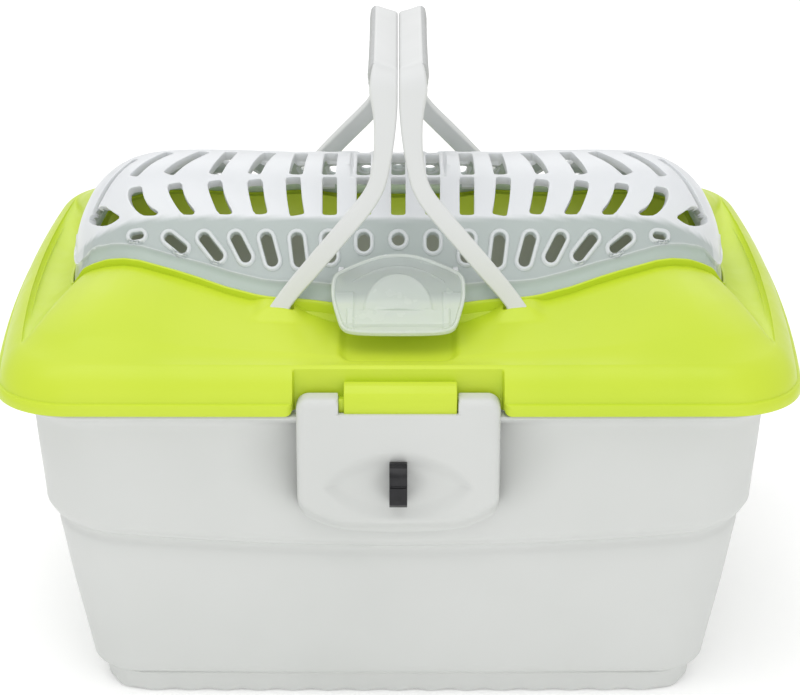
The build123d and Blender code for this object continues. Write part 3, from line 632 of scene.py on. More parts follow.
# ------------------------------------------------------------------ base tub
def make_tub():
    rows = []

    def add(P, z):
        rows.append(np.column_stack([P, np.broadcast_to(z, (NC,)) + 0.0]))

    F0 = ring_of(FOOT0)
    s = np.concatenate([[0], np.cumsum(np.hypot(*np.diff(F0, axis=0).T))])
    per = s[-1] + np.hypot(*(F0[0] - F0[-1]))
    waves = round(per / 19.4 / 4) * 4
    ph = 2 * np.pi * waves * s / per
    n0 = np.roll(F0, -1, 0) - np.roll(F0, 1, 0)
    n0 /= np.hypot(n0[:, 0], n0[:, 1])[:, None]
    n0 = np.stack([n0[:, 1], -n0[:, 0]], 1)
    flute = 0.5 + 0.5 * np.cos(ph)

    # inside, from the top of the flange down to the floor
    fl_top = 176.6
    inner = [(WALL3, -0.9, fl_top), (WALL3, -2.2, 176.0), (WALL3, -2.6, 174.6), (WALL3, -2.6, 168.0), (WALL3, -2.7, 150.0),
             (WALL2, -2.5, 110.0), (WALL2, -2.7, 104.0), (WALL1, -2.2, 98.0), (WALL1, -2.7, 94.0)]
    floor_rows = [(WALL0, -2.7, 22.0), (WALL0, -3.3, 17.5), (WALL0, -5.0, 14.0), (WALL0, -9.0, 10.5), (FOOT1, -8.0, 5.5),
                  (FOOT1, -13.0, 3.4), (FOOT1, -22.0, 3.0)]
    # centre of the floor first
    for k in (0.02, 0.2, 0.45, 0.7):
        add(ring_of(FOOT1, -22.0) * k, 3.0)
    for d, g, z in reversed(floor_rows):
        add(ring_of(d, g), z)
    W0, W1 = ring_of(WALL0, -2.7), ring_of(WALL1, -2.7)
    for k in (0.3, 0.65):
        add(W0 + (W1 - W0) * k, 22.0 + 72.0 * k)
    for d, g, z in reversed(inner):
        add(ring_of(d, g), z)
    # flange
    for d, g, z in ((FLANGE, -1.2, 176.6), (FLANGE, -0.4, 176.35), (FLANGE, 0.0, 175.6), (FLANGE, 0.0, 175.0), (FLANGE, -0.5, 174.3),
                    (FLANGE, -1.6, 173.9)):
        add(ring_of(d, g), z)
    A3, FLr = ring_of(WALL3), ring_of(FLANGE, -1.6)
    for k, z in ((0.55, 171.8), (0.2, 169.6), (0.05, 167.8)):
        add(A3 + (FLr - A3) * k, z)
    W2 = ring_of(WALL2)
    for k in (0.97, 0.9, 0.8, 0.7, 0.6, 0.5, 0.4, 0.3, 0.2, 0.12, 0.06, 0.02):
        add(W2 + (A3 - W2) * k, 105.5 + 60.5 * k)
    add(W2, 104.6)
    add(ring_of(WALL2, -0.3), 103.2)
    add(ring_of(WALL2, -1.0), 102.0)
    add(ring_of(WALL1, 3.2), 100.2)
    add(ring_of(WALL1, 1.4), 98.8)
    add(ring_of(WALL1, -0.2), 97.6)
    add(ring_of(WALL1, -1.2), 96.2)
    add(ring_of(WALL1, -1.4), 94.6)
    add(ring_of(WALL1, -0.9), 92.6)
    W0, W1 = ring_of(WALL0), ring_of(WALL1)
    for k in (0.96, 0.85, 0.7, 0.55, 0.4, 0.25, 0.12, 0.03):
        add(W0 + (W1 - W0) * k, 17.0 + 77.0 * k)
    add(ring_of(WALL0, -0.2), 15.6)
    add(ring_of(WALL0, -0.9), 14.4)
    add(ring_of(WALL0, -2.2), 13.5)
    F1 = ring_of(FOOT1)
    add(F1 + 1.3 * n0, 12.9)
    add(F1 + 0.3 * n0, 12.3)
    for k, z in ((0.85, 11.0), (0.6, 8.0), (0.3, 4.5), (0.12, 2.2)):
        P = F0 + (F1 - F0) * k + n0 * (0.9 * flute * (1 - k) - 0.2)[:, None]
        add(P, z)
    add(F0 + n0 * (0.9 * flute - 0.6)[:, None], 0.5 + 0.7 * (1 - flute))
    add(F0 + n0 * (0.9 * flute - 1.6)[:, None], 0.0 + 0.7 * (1 - flute))
    add(ring_of(FOOT0, -6.0), 0.0 + 0.7 * (1 - flute))
    add(ring_of(FOOT0, -9.0), 1.0)
    for k in (0.7, 0.45, 0.2, 0.02):
        add(ring_of(FOOT0, -12.0) * k, 1.0)
    A = np.stack(rows)
    x, y, z = A[..., 0], A[..., 1], A[..., 2]
    # dished niche round the lock in the front wall, and room for the tongue behind the panel
    rho = np.hypot(x / 92.0, (z - 152.0) / 48.0)
    D = 8.5 * sstep((1.0 - rho) / 0.45)
    wall = (y < 0) & (z > 99.0) & (z < 171.0) & (np.hypot(x, y) > 100) & (-y > 130)
    y = np.where(wall, y + D, y)
    lim = np.where(np.abs(x) < 50.0, 153.6, 999.0)
    lim = np.where((np.abs(x) >= 50.0) & (np.abs(x) < 52.0), 153.6 + (np.abs(x) - 50.0) * 6.0, lim)
    y = np.where((y < 0) & (z > 165.0), -np.minimum(-y, lim), y)
    # flange cut back between the back knuckles
    hk = (np.abs(np.abs(x) - 112.0) < 11.6) & (y > 150) & (z > 165.6)
    y = np.where(hk, np.minimum(y, 154.9), y)
    A[..., 1] = y
    V = A.reshape(-1, 3)
    F = grid_faces(A.shape[0], NC)
    # close the two small centres
    n = len(V)
    V = np.concatenate([V, [[0, 0, 3.0], [0, 0, 1.0]]])
    base = (A.shape[0] - 1) * NC
    for c in range(NC):
        c2 = (c + 1) % NC
        F.append((c2, c, n))
        F.append((base + c, base + c2, n + 1))
    return V, F


V, F = make_tub()
# the ledge round the tub hangs lower in the middle of the front and back than at the corners
V = np.array(V, float)
V[:, 2] += (np.clip(4.0 * (V[:, 0] / 124.0) ** 2, 0, 9.1) - 2.4) * sstep((V[:, 2] - 56.0) / 38.0) * sstep((152.0 - V[:, 2]) / 44.0)
tub = build("tub_shell", V, F, GREY, "base", ("base_tub",), angle=40.0)


# ------------------------------------------------------------------ lock housing
def make_housing():
    hw, z0, ztop, rc = 53.0, 103.5, 187.9, 6.8
    notch_x, notch_z = 31.0, 180.0

    def arc(cx, cz, r, a0, a1, n):
        return [(cx + r * math.cos(a), cz + r * math.sin(a)) for a in np.linspace(math.radians(a0), math.radians(a1), n)]
    right = [(notch_x, notch_z)] + [(notch_x, z) for z in np.arange(181.5, 186.8, 1.3)] + arc(notch_x + 0.9, ztop - 0.9, 0.9, 180, 90, 4)
    right += [(x, ztop) for x in np.arange(34.0, hw - rc, 2.0)] + arc(hw - rc, ztop - rc, rc, 90, 0, 10)
    right += [(hw, z) for z in np.arange(179.5, 112.0, -1.8)]
    right += [(hw - (112.0 - z) * 0.10, z) for z in np.arange(111.5, z0 + 0.4, -2.0)]
    bottom = [(x, z0) for x in np.arange(51.0, -51.5, -2.0)]
    left = [(-x, z) for x, z in reversed(right)]
    notch = [(x, notch_z) for x in np.arange(-29.0, 29.5, 2.0)]
    outline = right + bottom + left + notch
    outline = np.array(outline)
    outer_sil = np.array([p for p in right[5:]])
    outer_sil_l = np.array([(-x, z) for x, z in outer_sil])
    gx, gz = np.meshgrid(np.arange(-52, 52.1, 1.3), np.arange(z0 + 1, 187.5, 1.3))
    G = np.column_stack([gx.ravel(), gz.ravel()])
    G = G[inside(outline, G)]
    dd = dist_to(outline, G)[0]
    G = G[dd > 0.9]
    ring_pts = []
    # extra points close to the silhouette for a clean rounded edge
    for e in (0.35,):
        n = len(outline)
        t = np.roll(outline, -1, 0) - np.roll(outline, 1, 0)
        t /= np.maximum(np.hypot(t[:, 0], t[:, 1]), 1e-9)[:, None]
        nn = np.stack([t[:, 1], -t[:, 0]], 1)
        for s in (1, -1):
            Q = outline + s * e * nn
            ok = inside(outline, Q) & (dist_to(outline, Q)[0] > e * 0.8)
            ring_pts.append(Q[ok])
    G = np.concatenate([G] + ring_pts)
    hole = [(4.05 * math.cos(a), 141.0 + 4.05 * math.sin(a)) for a in np.linspace(0, 2 * math.pi, 29)[:-1]]
    G = G[np.hypot(G[:, 0], G[:, 1] - 141.0) > 4.8]
    v, f, _ = cdt(outline, [hole], [], G)
    x, z = v[:, 0], v[:, 1]
    d_out = np.minimum(dist_to(outer_sil, v, closed=False)[0], dist_to(outer_sil_l, v, closed=False)[0])
    notch_line = np.array([(-notch_x, ztop), (-notch_x, notch_z), (notch_x, notch_z), (notch_x, ztop)])
    d_n = dist_to(notch_line, v, closed=False)[0]

    def rnd(d, R):
        return np.where(d < R, R - np.sqrt(np.clip(R * R - (R - d) ** 2, 0, None)), 0.0)
    Y = -168.0 + rnd(d_out, 4.2) + rnd(d_n, 0.8)
    # bottom curls back towards the wall
    corner = np.clip((np.abs(x) - 24.0) / 29.0, 0, 1)
    Y += 15.6 * sstep((121.0 + 12.0 * corner ** 2 - z) / 15.5)
    # lens-shaped depression round the knob, and the little dish under it
    ax = np.clip(np.abs(x) / 39.5, 0, 1)
    top_edge = 138.7 + 21.0 * (1 - ax ** 2) ** 0.72
    bot_edge = 138.7 - 22.5 * (1 - ax ** 2) ** 0.72
    inner_d = np.minimum(top_edge - z, z - bot_edge)
    inner_d = np.where(np.abs(x) < 39.5, inner_d, -1.0)
    Y += 3.0 * sstep(inner_d / 11.0)
    r = np.hypot(x / 14.5, (z - 140.5) / 8.6)
    Y += 1.1 * sstep((1.15 - r) / 0.8)
    front = np.column_stack([x, Y, z])
    back_y = Y + 2.5
    # side walls and ears are deeper than the panel
    deep = sstep((np.abs(x) - 49.6) / 0.8)
    ear = sstep((np.abs(x) - 31.0) / 0.4) * sstep((z - 180.6) / 0.8)
    back_y = np.maximum(back_y, -165.4 + 8.6 * np.maximum(deep, ear))
    back_y = np.where(z < 112, np.maximum(back_y, -150.0), back_y)
    back = np.column_stack([x, np.maximum(back_y, Y + 1.2), z])
    return shell(front, back, f)


V, F = make_housing()
build("tub_lock_housing", V, F, GREY, "base", (), angle=34.0)

# back knuckles of the tub
bag = Bag()
for sx in (-1, 1):
    for dx in (-15.5, 15.5):
        x = sx * 112.0 + dx
        bag.add(*prism(disc(166.5, 171.9, 5.0, 32), 0, x - 4.0, x + 4.0, 0.5, 2))
        bag.add(*prism([(171.3, 171.0), (169.5, 168.2), (155.6, 150.0), (155.2, 170.0), (160.0, 175.4), (166.5, 176.7)],
                       0, x - 3.8, x + 3.8, 0.4, 2))
build("tub_knuckles", bag.V, bag.F, GREY, "base", (), angle=30.0)


# ------------------------------------------------------------------ flap (dome)
zs_t = smooth_tab([0, 100, 120, 134, 143, 152, 160, 167, 174, 180, 183, 184.5, 190], [264.5, 264.8, 265.0, 264.8, 263.6, 261.2, 257.0, 251.6, 243.6, 232, 222, 215, 212], 5.0)
yc_t = smooth_tab([0, 75, 108, 136, 147, 158, 169, 177, 181, 184, 190], [57, 52.5, 47, 42.5, 41, 39, 36, 30, 24, 12, 6], 6.0)
zc_t = smooth_tab([0, 75, 108, 136, 147, 158, 169, 177, 181, 184, 190], [249, 248.2, 246.8, 244.1, 242, 237.2, 230.5, 222.5, 217, 211, 208], 6.0)
add_x = smooth_tab([0, 40, 78, 94, 105, 122, 139, 150, 165, 174, 182, 186], [8.0, 7.0, 5.6, 5.4, 5.0, 4.1, 4.3, 5.1, 6.5, 8.9, 11.0, 15.0], 5.0)

side_share = sstep((np.abs(OPEN[:, 0]) - 170.0) / 13.0)
RIDGE_D = 8.0 * (1 - side_share) + 2.3 * side_share
RIDGE = OPEN - RIDGE_D[:, None] * OPEN_N
RIDGE_Z = RIM + add_x(OPEN[:, 0])
_q = (RIDGE[:, 0] >= 0) & (RIDGE[:, 1] <= 0)
_rx, _ry, _rz = RIDGE[_q, 0], -RIDGE[_q, 1], RIDGE_Z[_q]
_o = np.argsort(_rx)
RX, RY, RZ = _rx[_o], _ry[_o], _rz[_o]
OUT12 = OPEN - 1.2 * OPEN_N


def dome_z(P):
    """Height of the flap's outer skin over the plan point."""
    d, idx = dist_to(OPEN, P)
    rim, zr, dr = RIM[idx], RIDGE_Z[idx], RIDGE_D[idx]
    x, y = np.abs(P[:, 0]), np.abs(P[:, 1])
    xr = np.minimum(x, RX[-1] - 0.05)
    yr, zrx = np.interp(xr, RX, RY), np.interp(xr, RX, RZ)
    yc = np.minimum(yc_t(x), np.maximum(yr - 3.0, 0.5))
    zc, zs = zc_t(x), zs_t(x)
    zc = np.minimum(np.maximum(zc, zrx + 0.3), zs)
    power = 2.05 + np.where(P[:, 1] > 0, 1.5 * sstep((x - 55.0) / 70.0), 0.0)
    roll = zs - (zs - zc) * np.clip(y / np.maximum(yc, 0.5), 0, 1) ** power
    t = np.clip((y - yc) / np.maximum(yr - yc, 0.5), 0, 1)
    face = zc + (zrx - zc) * t
    z = np.where(y <= yc, roll, face)
    k = np.clip((d - 1.2) / np.maximum(dr - 1.2, 0.3), 0, 1)
    fl = (rim - 0.6) + (zr - rim + 0.6) * k
    z = np.where(d < dr, fl, z)
    return z, d, dr, t


def cam_ray(px, py):
    s, c = math.sin(TILT), math.cos(TILT)
    v = np.array([px - PX0, (PY0 - py) * s + FOCAL * c, (PY0 - py) * c - FOCAL * s])
    return v / np.linalg.norm(v)


_gx = np.concatenate([np.arange(-184.0, -150, 1.0), np.arange(-150, 150.1, 2.5), np.arange(151.0, 184.5, 1.0)])
_gy = np.arange(-96.0, 96.1, 1.5)
_G = np.array([(a, b) for b in _gy for a in _gx])
_z, _d, _dr, _ = dome_z(_G)
_in = inside(OUT12, _G)
_nx = len(_gx)
_F = []
for j in range(len(_gy) - 1):
    for i in range(_nx - 1):
        q = (j * _nx + i, j * _nx + i + 1, (j + 1) * _nx + i + 1, (j + 1) * _nx + i)
        if all(_in[k] for k in q):
            _F.append(q)
BVH = BVHTree.FromPolygons([(float(p[0]), float(p[1]), float(z)) for p, z in zip(_G, _z)], _F)


def hit(px, py):
    loc, nrm, idx, dist = BVH.ray_cast(Vector(CAM), Vector(cam_ray(px, py)), 3000.0)
    return None if loc is None else (loc.x, loc.y)


def stroke(A, r0, n_cap=7, square=0.0):
    """Closed loop round a centre line; square 0 gives round ends, nearly 1 gives cut ends."""
    A = np.asarray(A, float)
    if len(A) == 3:
        t = np.linspace(0, 1, 7)[:, None]
        c = 2 * A[1] - 0.5 * (A[0] + A[2])
        A = (1 - t) ** 2 * A[0] + 2 * t * (1 - t) * c + t * t * A[2]
    elif len(A) == 2 and np.hypot(*(A[1] - A[0])) > 2:
        t = np.linspace(0, 1, 5)[:, None]
        A = A[0] + (A[1] - A[0]) * t
    T = np.gradient(A, axis=0)
    T /= np.maximum(np.hypot(T[:, 0], T[:, 1]), 1e-9)[:, None]
    A = A.copy()
    A[0] -= T[0] * r0 * square
    A[-1] += T[-1] * r0 * square
    Nn = np.stack([-T[:, 1], T[:, 0]], 1)
    left, right = A + Nn * r0, A - Nn * r0
    cap, ex = r0 * (1 - square), 1.0 - 0.75 * square

    def end(P, n, t):
        out = []
        for k in np.linspace(0, math.pi, n_cap)[1:-1]:
            c, q = math.cos(k), math.sin(k)
            out.append(P + n * r0 * math.copysign(abs(c) ** ex, c) + t * cap * q ** ex)
        return out
    return np.array(list(left) + end(A[-1], Nn[-1], T[-1]) + list(right[::-1]) + end(A[0], -Nn[0], -T[0]))


def chaikin(P, n=2, closed=True):
    P = np.asarray(P, float)
    for _ in range(n):
        Q = np.roll(P, -1, 0) if closed else P[1:]
        A = P if closed else P[:-1]
        new = np.empty((2 * len(A), P.shape[1]))
        new[0::2], new[1::2] = 0.75 * A + 0.25 * Q, 0.25 * A + 0.75 * Q
        if not closed:
            new = np.concatenate([P[:1], new, P[-1:]])
        P = new
    return P


def offset_in(P, d):
    P = np.asarray(P, float)
    t = np.roll(P, -1, 0) - np.roll(P, 1, 0)
    t /= np.maximum(np.hypot(t[:, 0], t[:, 1]), 1e-9)[:, None]
    area = 0.5 * np.sum(P[:, 0] * np.roll(P[:, 1], -1) - np.roll(P[:, 0], -1) * P[:, 1])
    n = np.stack([-t[:, 1], t[:, 0]], 1) * (1 if area > 0 else -1)
    return P + n * d


# air slots of the left half: centre line and half width, rows 2 and 3 in photo pixels, row 1 in plan millimetres
ROW3 = [([(133.9, 236.9), (140.3, 235.8)], 3.5), ([(169.2, 238.0), (182.3, 248.6)], 4.9), ([(204.3, 238.4), (218.1, 256.2)], 5.3),
        ([(236.1, 238.4), (245.8, 257.4)], 5.5), ([(266.3, 238.6), (272.4, 261.4)], 5.7), ([(297.0, 238.9), (299.8, 262.0)], 5.8),
        ([(328.6, 238.8), (330.3, 257.4)], 5.9), ([(363.8, 239.0), (363.8, 245.8)], 6.0), ([(398.3, 239.6), (398.3, 239.8)], 6.3)]
ROW2 = [([(86.6, 220.8), (94.5, 211.0), (103.0, 204.6), (112.0, 211.5), (121.0, 216.6), (113.5, 222.5), (105.0, 226.2), (94.0, 225.4)], 0.0),
        ([(128.6, 188.4), (134.5, 186.4), (141.8, 186.0), (142.6, 193.0), (144.7, 199.8), (149.3, 206.3), (158.8, 211.4), (156.0, 215.2), (149.0, 215.6),
          (141.8, 215.2), (134.2, 208.8), (129.4, 201.8), (127.4, 194.8)], 0.0),
        ([(167.0, 184.4), (174.0, 182.6), (181.8, 182.0), (182.6, 190.5), (187.3, 201.2), (195.0, 210.4), (193.6, 214.4), (188.0, 214.6),
          (182.0, 214.2), (174.2, 203.5), (168.6, 192.8)], 0.0),
        ([(207.3, 181.6), (214.5, 179.8), (222.0, 179.4), (223.2, 190.7), (227.7, 202.6), (232.6, 211.2), (231.0, 214.0), (224.5, 214.3),
          (218.0, 213.8), (211.8, 199.8), (208.2, 189.2)], 0.0),
        ([(247.0, 180.2), (254.5, 178.6), (262.5, 178.4), (263.6, 192.5), (266.4, 206.0), (267.8, 212.8), (261.0, 214.3),
          (253.8, 213.8), (250.3, 201.4), (248.0, 189.0)], 0.0),
        ([(293.4, 184.0), (294.3, 196.0), (296.0, 207.6)], 7.5), ([(329.7, 183.6), (329.6, 207.4)], 7.4),
        ([(363.9, 183.4), (363.9, 207.4)], 7.4), ([(398.3, 183.4), (398.3, 207.4)], 7.4)]
ROW1 = [([(-169.5, -20.0), (-160.5, -6.0), (-150.5, 8.0)], 2.2), ([(-147.0, -12.0), (-139.0, 0.0), (-131.5, 11.5)], 3.1),
        ([(-127.0, -14.5), (-119.0, -1.0), (-112.0, 12.0)], 3.5), ([(-101.8, -15.5), (-98.6, -1.5), (-95.8, 12.5)], 3.7),
        ([(-79.9, -15.8), (-77.0, -1.5), (-73.8, 12.5)], 3.8), ([(-57.0, -16.5), (-55.2, 12.5)], 3.9),
        ([(-38.8, -17.0), (-38.2, 12.5)], 3.9), ([(-19.5, -16.5), (-19.3, 12.5)], 3.9), ([(0.0, -16.5), (0.0, 12.5)], 3.9)]
RIM_RINGS = [(0.0, 0.3), (0.6, 0.95), (1.5, 1.2), (3.0, 1.15), (4.0, 0.6), (4.8, 0.0)]      # pixels out, millimetres up
PLAIN_RINGS = [(0.0, -0.25), (0.55, -0.02), (1.6, 0.0)]
WALL = 4.7                                                                                  # depth of the slots' inner collars
holes, rings, ring_disp, hole_disp, ring_wall, hole_wall = [], [], [], [], [], []


def cast_loop(loop):
    out = [hit(px, py) for px, py in loop]
    if any(o is None for o in out):
        return None
    return np.array(out)


slot_count = 0
for row, spec, rr in ((3, ROW3, RIM_RINGS), (2, ROW2, PLAIN_RINGS), (1, ROW1, PLAIN_RINGS)):
    for k, (cl, hw) in enumerate(spec):
        centre = k == 8
        loops = []
        for j, (e, h) in enumerate(rr):
            if hw == 0.0:
                L = cast_loop(offset_in(chaikin(cl, 1), -e))
            elif row == 1:
                L = stroke(cl, hw + e / 1.75, 8, 0.45)
            else:
                L = cast_loop(stroke(cl, hw + e, 9, 0.0 if row == 3 else 0.62))
            if L is None:
                loops = None
                break
            loops.append((L, h, WALL if row < 3 and j < 2 else 0.0))
        if loops is None:
            print("slot left out", row, k)
            continue
        slot_count += 1
        for mx in ((1,) if centre else (1, -1)):
            for my in ((1,) if row == 1 else (1, -1)):
                for j, (L, h, w) in enumerate(loops):
                    M = L * np.array([mx, my])
                    if j == 0:
                        holes.append(M)
                        hole_disp.append(h)
                        hole_wall.append(w)
                    else:
                        rings.append(M)
                        ring_disp.append(h)
                        ring_wall.append(w)


def panel(P):
    """Shallow recessed panel in the middle of the roof."""
    return -0.6 * sstep((26.6 - np.abs(P[:, 0])) / 1.0) * sstep((23.4 - np.abs(P[:, 1])) / 1.0)


def corner_box(hx, hy, r, n=7):
    out = []
    for sx, sy, a in ((1, 1, 0), (-1, 1, 90), (-1, -1, 180), (1, -1, 270)):
        for t in np.linspace(0, 90, n):
            b = math.radians(a + t)
            out.append((sx * (hx - r) + r * math.cos(b), sy * (hy - r) + r * math.sin(b)))
    return np.array(out)


# outline, flange rings and grid points
step_i = 2
outer_loop = OUT12[::step_i]
flange_rings, flange_h = [], []
for frac, dz in ((0.18, 0.0), (0.5, -0.25), (0.8, -0.1), (0.92, 0.6), (1.0, 1.0), (1.08, 0.6), (1.25, 0.0)):
    off = 1.2 + (RIDGE_D - 1.2) * frac
    flange_rings.append((OPEN - off[:, None] * OPEN_N)[::step_i])
    flange_h.append(dz)
for e in (26.6, 25.6):
    flange_rings.append(corner_box(e, e - 3.2, 2.0))
    flange_h.append(0.0)
xs = np.concatenate([np.arange(-183.4, -168, 0.9), np.arange(-168, -140, 1.5), np.arange(-140, 140.1, 2.5),
                     np.arange(141.5, 168.1, 1.5), np.arange(168.9, 183.9, 0.9)])
yy = np.arange(-92.0, 92.1, 2.3)
G = np.array([(a + (0.6 if j % 2 else 0.0) * 0, b) for j, b in enumerate(yy) for a in xs])
G = G[inside(OUT12, G)]
dG, iG = dist_to(OPEN, G)
G = G[dG > 1.2 + (RIDGE_D[iG] - 1.2) * 1.25 + 0.9]
keep = np.ones(len(G), bool)
for L in holes:
    lo, hi = L.min(0) - 5.0, L.max(0) + 5.0
    m = np.nonzero((G[:, 0] > lo[0]) & (G[:, 0] < hi[0]) & (G[:, 1] > lo[1]) & (G[:, 1] < hi[1]) & keep)[0]
    if len(m):
        bad = inside(L, G[m])
        keep[m[bad]] = False
for L in rings:
    lo, hi = L.min(0) - 1.0, L.max(0) + 1.0
    m = np.nonzero((G[:, 0] > lo[0]) & (G[:, 0] < hi[0]) & (G[:, 1] > lo[1]) & (G[:, 1] < hi[1]) & keep)[0]
    if len(m):
        bad = inside(L, G[m]) | (dist_to(L, G[m])[0] < 0.55)
        keep[m[bad]] = False
G = G[keep]
disp_in = [0.0] * len(outer_loop)
for L, h in zip(holes, hole_disp):
    disp_in += [h] * len(L)
for L, h in zip(rings + flange_rings, ring_disp + flange_h):
    disp_in += [h] * len(L)
disp_in += [0.0] * len(G)
disp_in = np.array(disp_in)
wall_in = [0.0] * len(outer_loop)
for L, w in zip(holes + rings + flange_rings, hole_wall + ring_wall + [0.0] * len(flange_rings)):
    wall_in += [w] * len(L)
wall_in = np.array(wall_in + [0.0] * len(G))
tone_in = [0.0] * (len(outer_loop) + sum(len(L) for L in holes))
for L, h in zip(rings, ring_disp):
    tone_in += [0.62 if h > 0.5 else 0.0] * len(L)
tone_in = np.array(tone_in + [0.0] * (sum(len(L) for L in flange_rings) + len(G)))
v2, f2, src = cdt(outer_loop, holes, rings + flange_rings, G)
disp = np.where(src >= 0, disp_in[np.maximum(src, 0)], 0.0) + panel(v2)
wall_in = np.where(src >= 0, wall_in[np.maximum(src, 0)], 0.0)
tone = np.where(src >= 0, tone_in[np.maximum(src, 0)], 0.0)
z0, d0, dr0, t0 = dome_z(v2)
eps = 0.7
zx = (dome_z(v2 + [eps, 0])[0] - dome_z(v2 - [eps, 0])[0]) / (2 * eps)
zy = (dome_z(v2 + [0, eps])[0] - dome_z(v2 - [0, eps])[0]) / (2 * eps)
steep = np.hypot(zx, zy)
cap = np.minimum(1.0, 5.0 / np.maximum(steep, 1e-6))
nrm = np.stack([-zx * cap, -zy * cap, np.ones(len(zx))], 1)
nrm /= np.linalg.norm(nrm, axis=1)[:, None]
rim_here = RIM[dist_to(OPEN, v2)[1]]
on_edge = d0 < 1.35
top = np.column_stack([v2, z0]) + nrm * disp[:, None]
thick = np.maximum(np.where(d0 < dr0 + 0.5, 1.9, 2.3), wall_in)
bot = top - nrm * thick[:, None]
# the edge of the flange is square to the ledge that it rests on
bot[on_edge] = np.column_stack([v2[on_edge], z0[on_edge] - 2.2])
# tone attribute of the flap (lower): past the crease the lower face takes the darker grey, more see-through tone. Its
# lower alpha is real see-through; its darker base colour is painted shade for a face turned away from the top light and
# for the shaded inside behind it. The tone is weaker at the far ends, raised pill rims stay at the pale tone, the
# flange band takes the greenish see-through tone, and the ridge line is painted paler as a painted highlight.
lower = sstep((np.abs(v2[:, 1]) - yc_t(v2[:, 0]) + 1.2) / 3.0)
lower = np.where(np.abs(v2[:, 0]) > 176, lower * 0.4, lower)
lower = np.clip(lower - tone, 0.0, 1.0)
lower = lower + sstep((dr0 * 0.97 - d0) / 1.2) * (np.abs(v2[:, 0]) < 181)
lower = np.where(np.abs(d0 / dr0 - 1.0) < 0.05, lower * 0.45, lower)
V, F = shell(top, bot, f2)
flap = build("flap_dome", V, F, MILK, "flap", ("flap",), angle=36.0,
             attrs={"lower": np.concatenate([lower, lower])})

# hinge lugs at the back and the two ears that hold the tab's pin
bag = Bag()
for sx in (-1, 1):
    x0, x1 = sx * 44.0 - 6.0, sx * 44.0 + 6.0
    bag.add(*prism(disc(101.5, 214.5, 4.2, 28), 0, x0, x1, 0.5, 2))
    bag.add(*prism([(98.5, 213.5), (103.5, 218.0), (92.0, 221.6), (86.0, 223.2), (86.0, 219.4)], 0, x0 + 0.3, x1 - 0.3, 0.4, 2))
    e0, e1 = (29.4, 32.2) if sx > 0 else (-32.2, -29.4)
    bag.add(*prism(disc(-88.0, 228.6, 3.2, 24), 0, e0, e1, 0.4, 2))
    bag.add(*prism([(-91.0, 228.4), (-85.0, 230.4), (-80.5, 229.6), (-82.0, 225.5), (-90.0, 221.4)], 0, e0 + 0.1, e1 - 0.1, 0.4, 2))
build("flap_lugs", bag.V, bag.F, MILK, "flap", (), angle=30.0)


# ------------------------------------------------------------------ flap latch (tab)
TB, TT = np.array([-130.0, 211.2]), np.array([-79.5, 236.0])
TDIR = (TT - TB) / np.linalg.norm(TT - TB)
TN = np.array([-TDIR[1], TDIR[0]])


def tab_uv(px, py):
    """Photo pixel to (x, v) on the tab's plane."""
    d = cam_ray(px, py)
    rel = np.array([CAM[1] - TB[0], CAM[2] - TB[1]])
    t = -(rel @ TN) / (d[1] * TN[0] + d[2] * TN[1])
    p = np.array([CAM[1] + d[1] * t - TB[0], CAM[2] + d[2] * t - TB[1]])
    return CAM[0] + d[0] * t, float(p @ TDIR)


left_px = [(398.5, 256.0), (389.0, 256.4), (380.0, 257.8), (368.0, 261.3), (355.0, 266.3), (344.0, 270.8), (337.5, 274.2), (334.2, 279.5), (333.2, 288.0),
           (333.3, 298.0), (335.6, 308.0), (338.6, 318.0), (341.0, 325.5), (344.5, 330.3), (351.0, 333.3), (362.0, 334.8), (380.0, 335.6), (398.5, 335.8)]
Lp = np.array([tab_uv(*p) for p in left_px])
Lp[0, 0] = Lp[-1, 0] = 0.0
Lp[:, 0] *= 1.03
tab_out = np.concatenate([Lp, np.stack([-Lp[::-1, 0], Lp[::-1, 1]], 1)[1:-1]])
tab_out = chaikin(tab_out, 2)


def tab_height(P):
    """Relief on the tab's face, millimetres along its normal."""
    d, _ = dist_to(tab_out, P)
    x, v = np.abs(P[:, 0]), P[:, 1]
    h = 1.1 * (1 - sstep((d - 1.25) / 0.95))                                # raised rim
    u = lambda px, py: tab_uv(px, py)
    # bar across, posts at its ends
    v_lo, v_hi = u(398, 328.5)[1], u(398, 312.8)[1]
    sag = (v_hi - v_lo) * 0.0 + 1.6 * (x / 26.0) ** 2
    h += 1.5 * sstep((v - v_lo) / 1.2) * sstep((v_hi + sag - v) / 0.9) * sstep((27.6 - x) / 1.0)
    v_post = u(398, 292.5)[1]
    h += 0.9 * sstep((x - 23.2) / 0.9) * sstep((v_post - v) / 1.2) * (d > 2.0)
    # half-round lens above the bar
    cx, cv = 0.0, v_hi
    rr_ = np.hypot(x / 18.9, (v - cv) / (u(398, 274.5)[1] - v_hi))
    lens = (v > v_hi - 0.2) * sstep((1.0 - rr_) / 0.09)
    h += np.where(v > v_hi - 0.2, 1.0 * lens + 0.9 * np.clip(1 - rr_, 0, 1) * lens, 0.0)
    # raised arc line
    va = u(398, 268.3)[1] - (u(398, 268.3)[1] - u(354, 283)[1]) * (x / 24.2) ** 2
    h += 0.55 * np.exp(-((v - va) / 0.55) ** 2) * (x < 24.5)
    return h


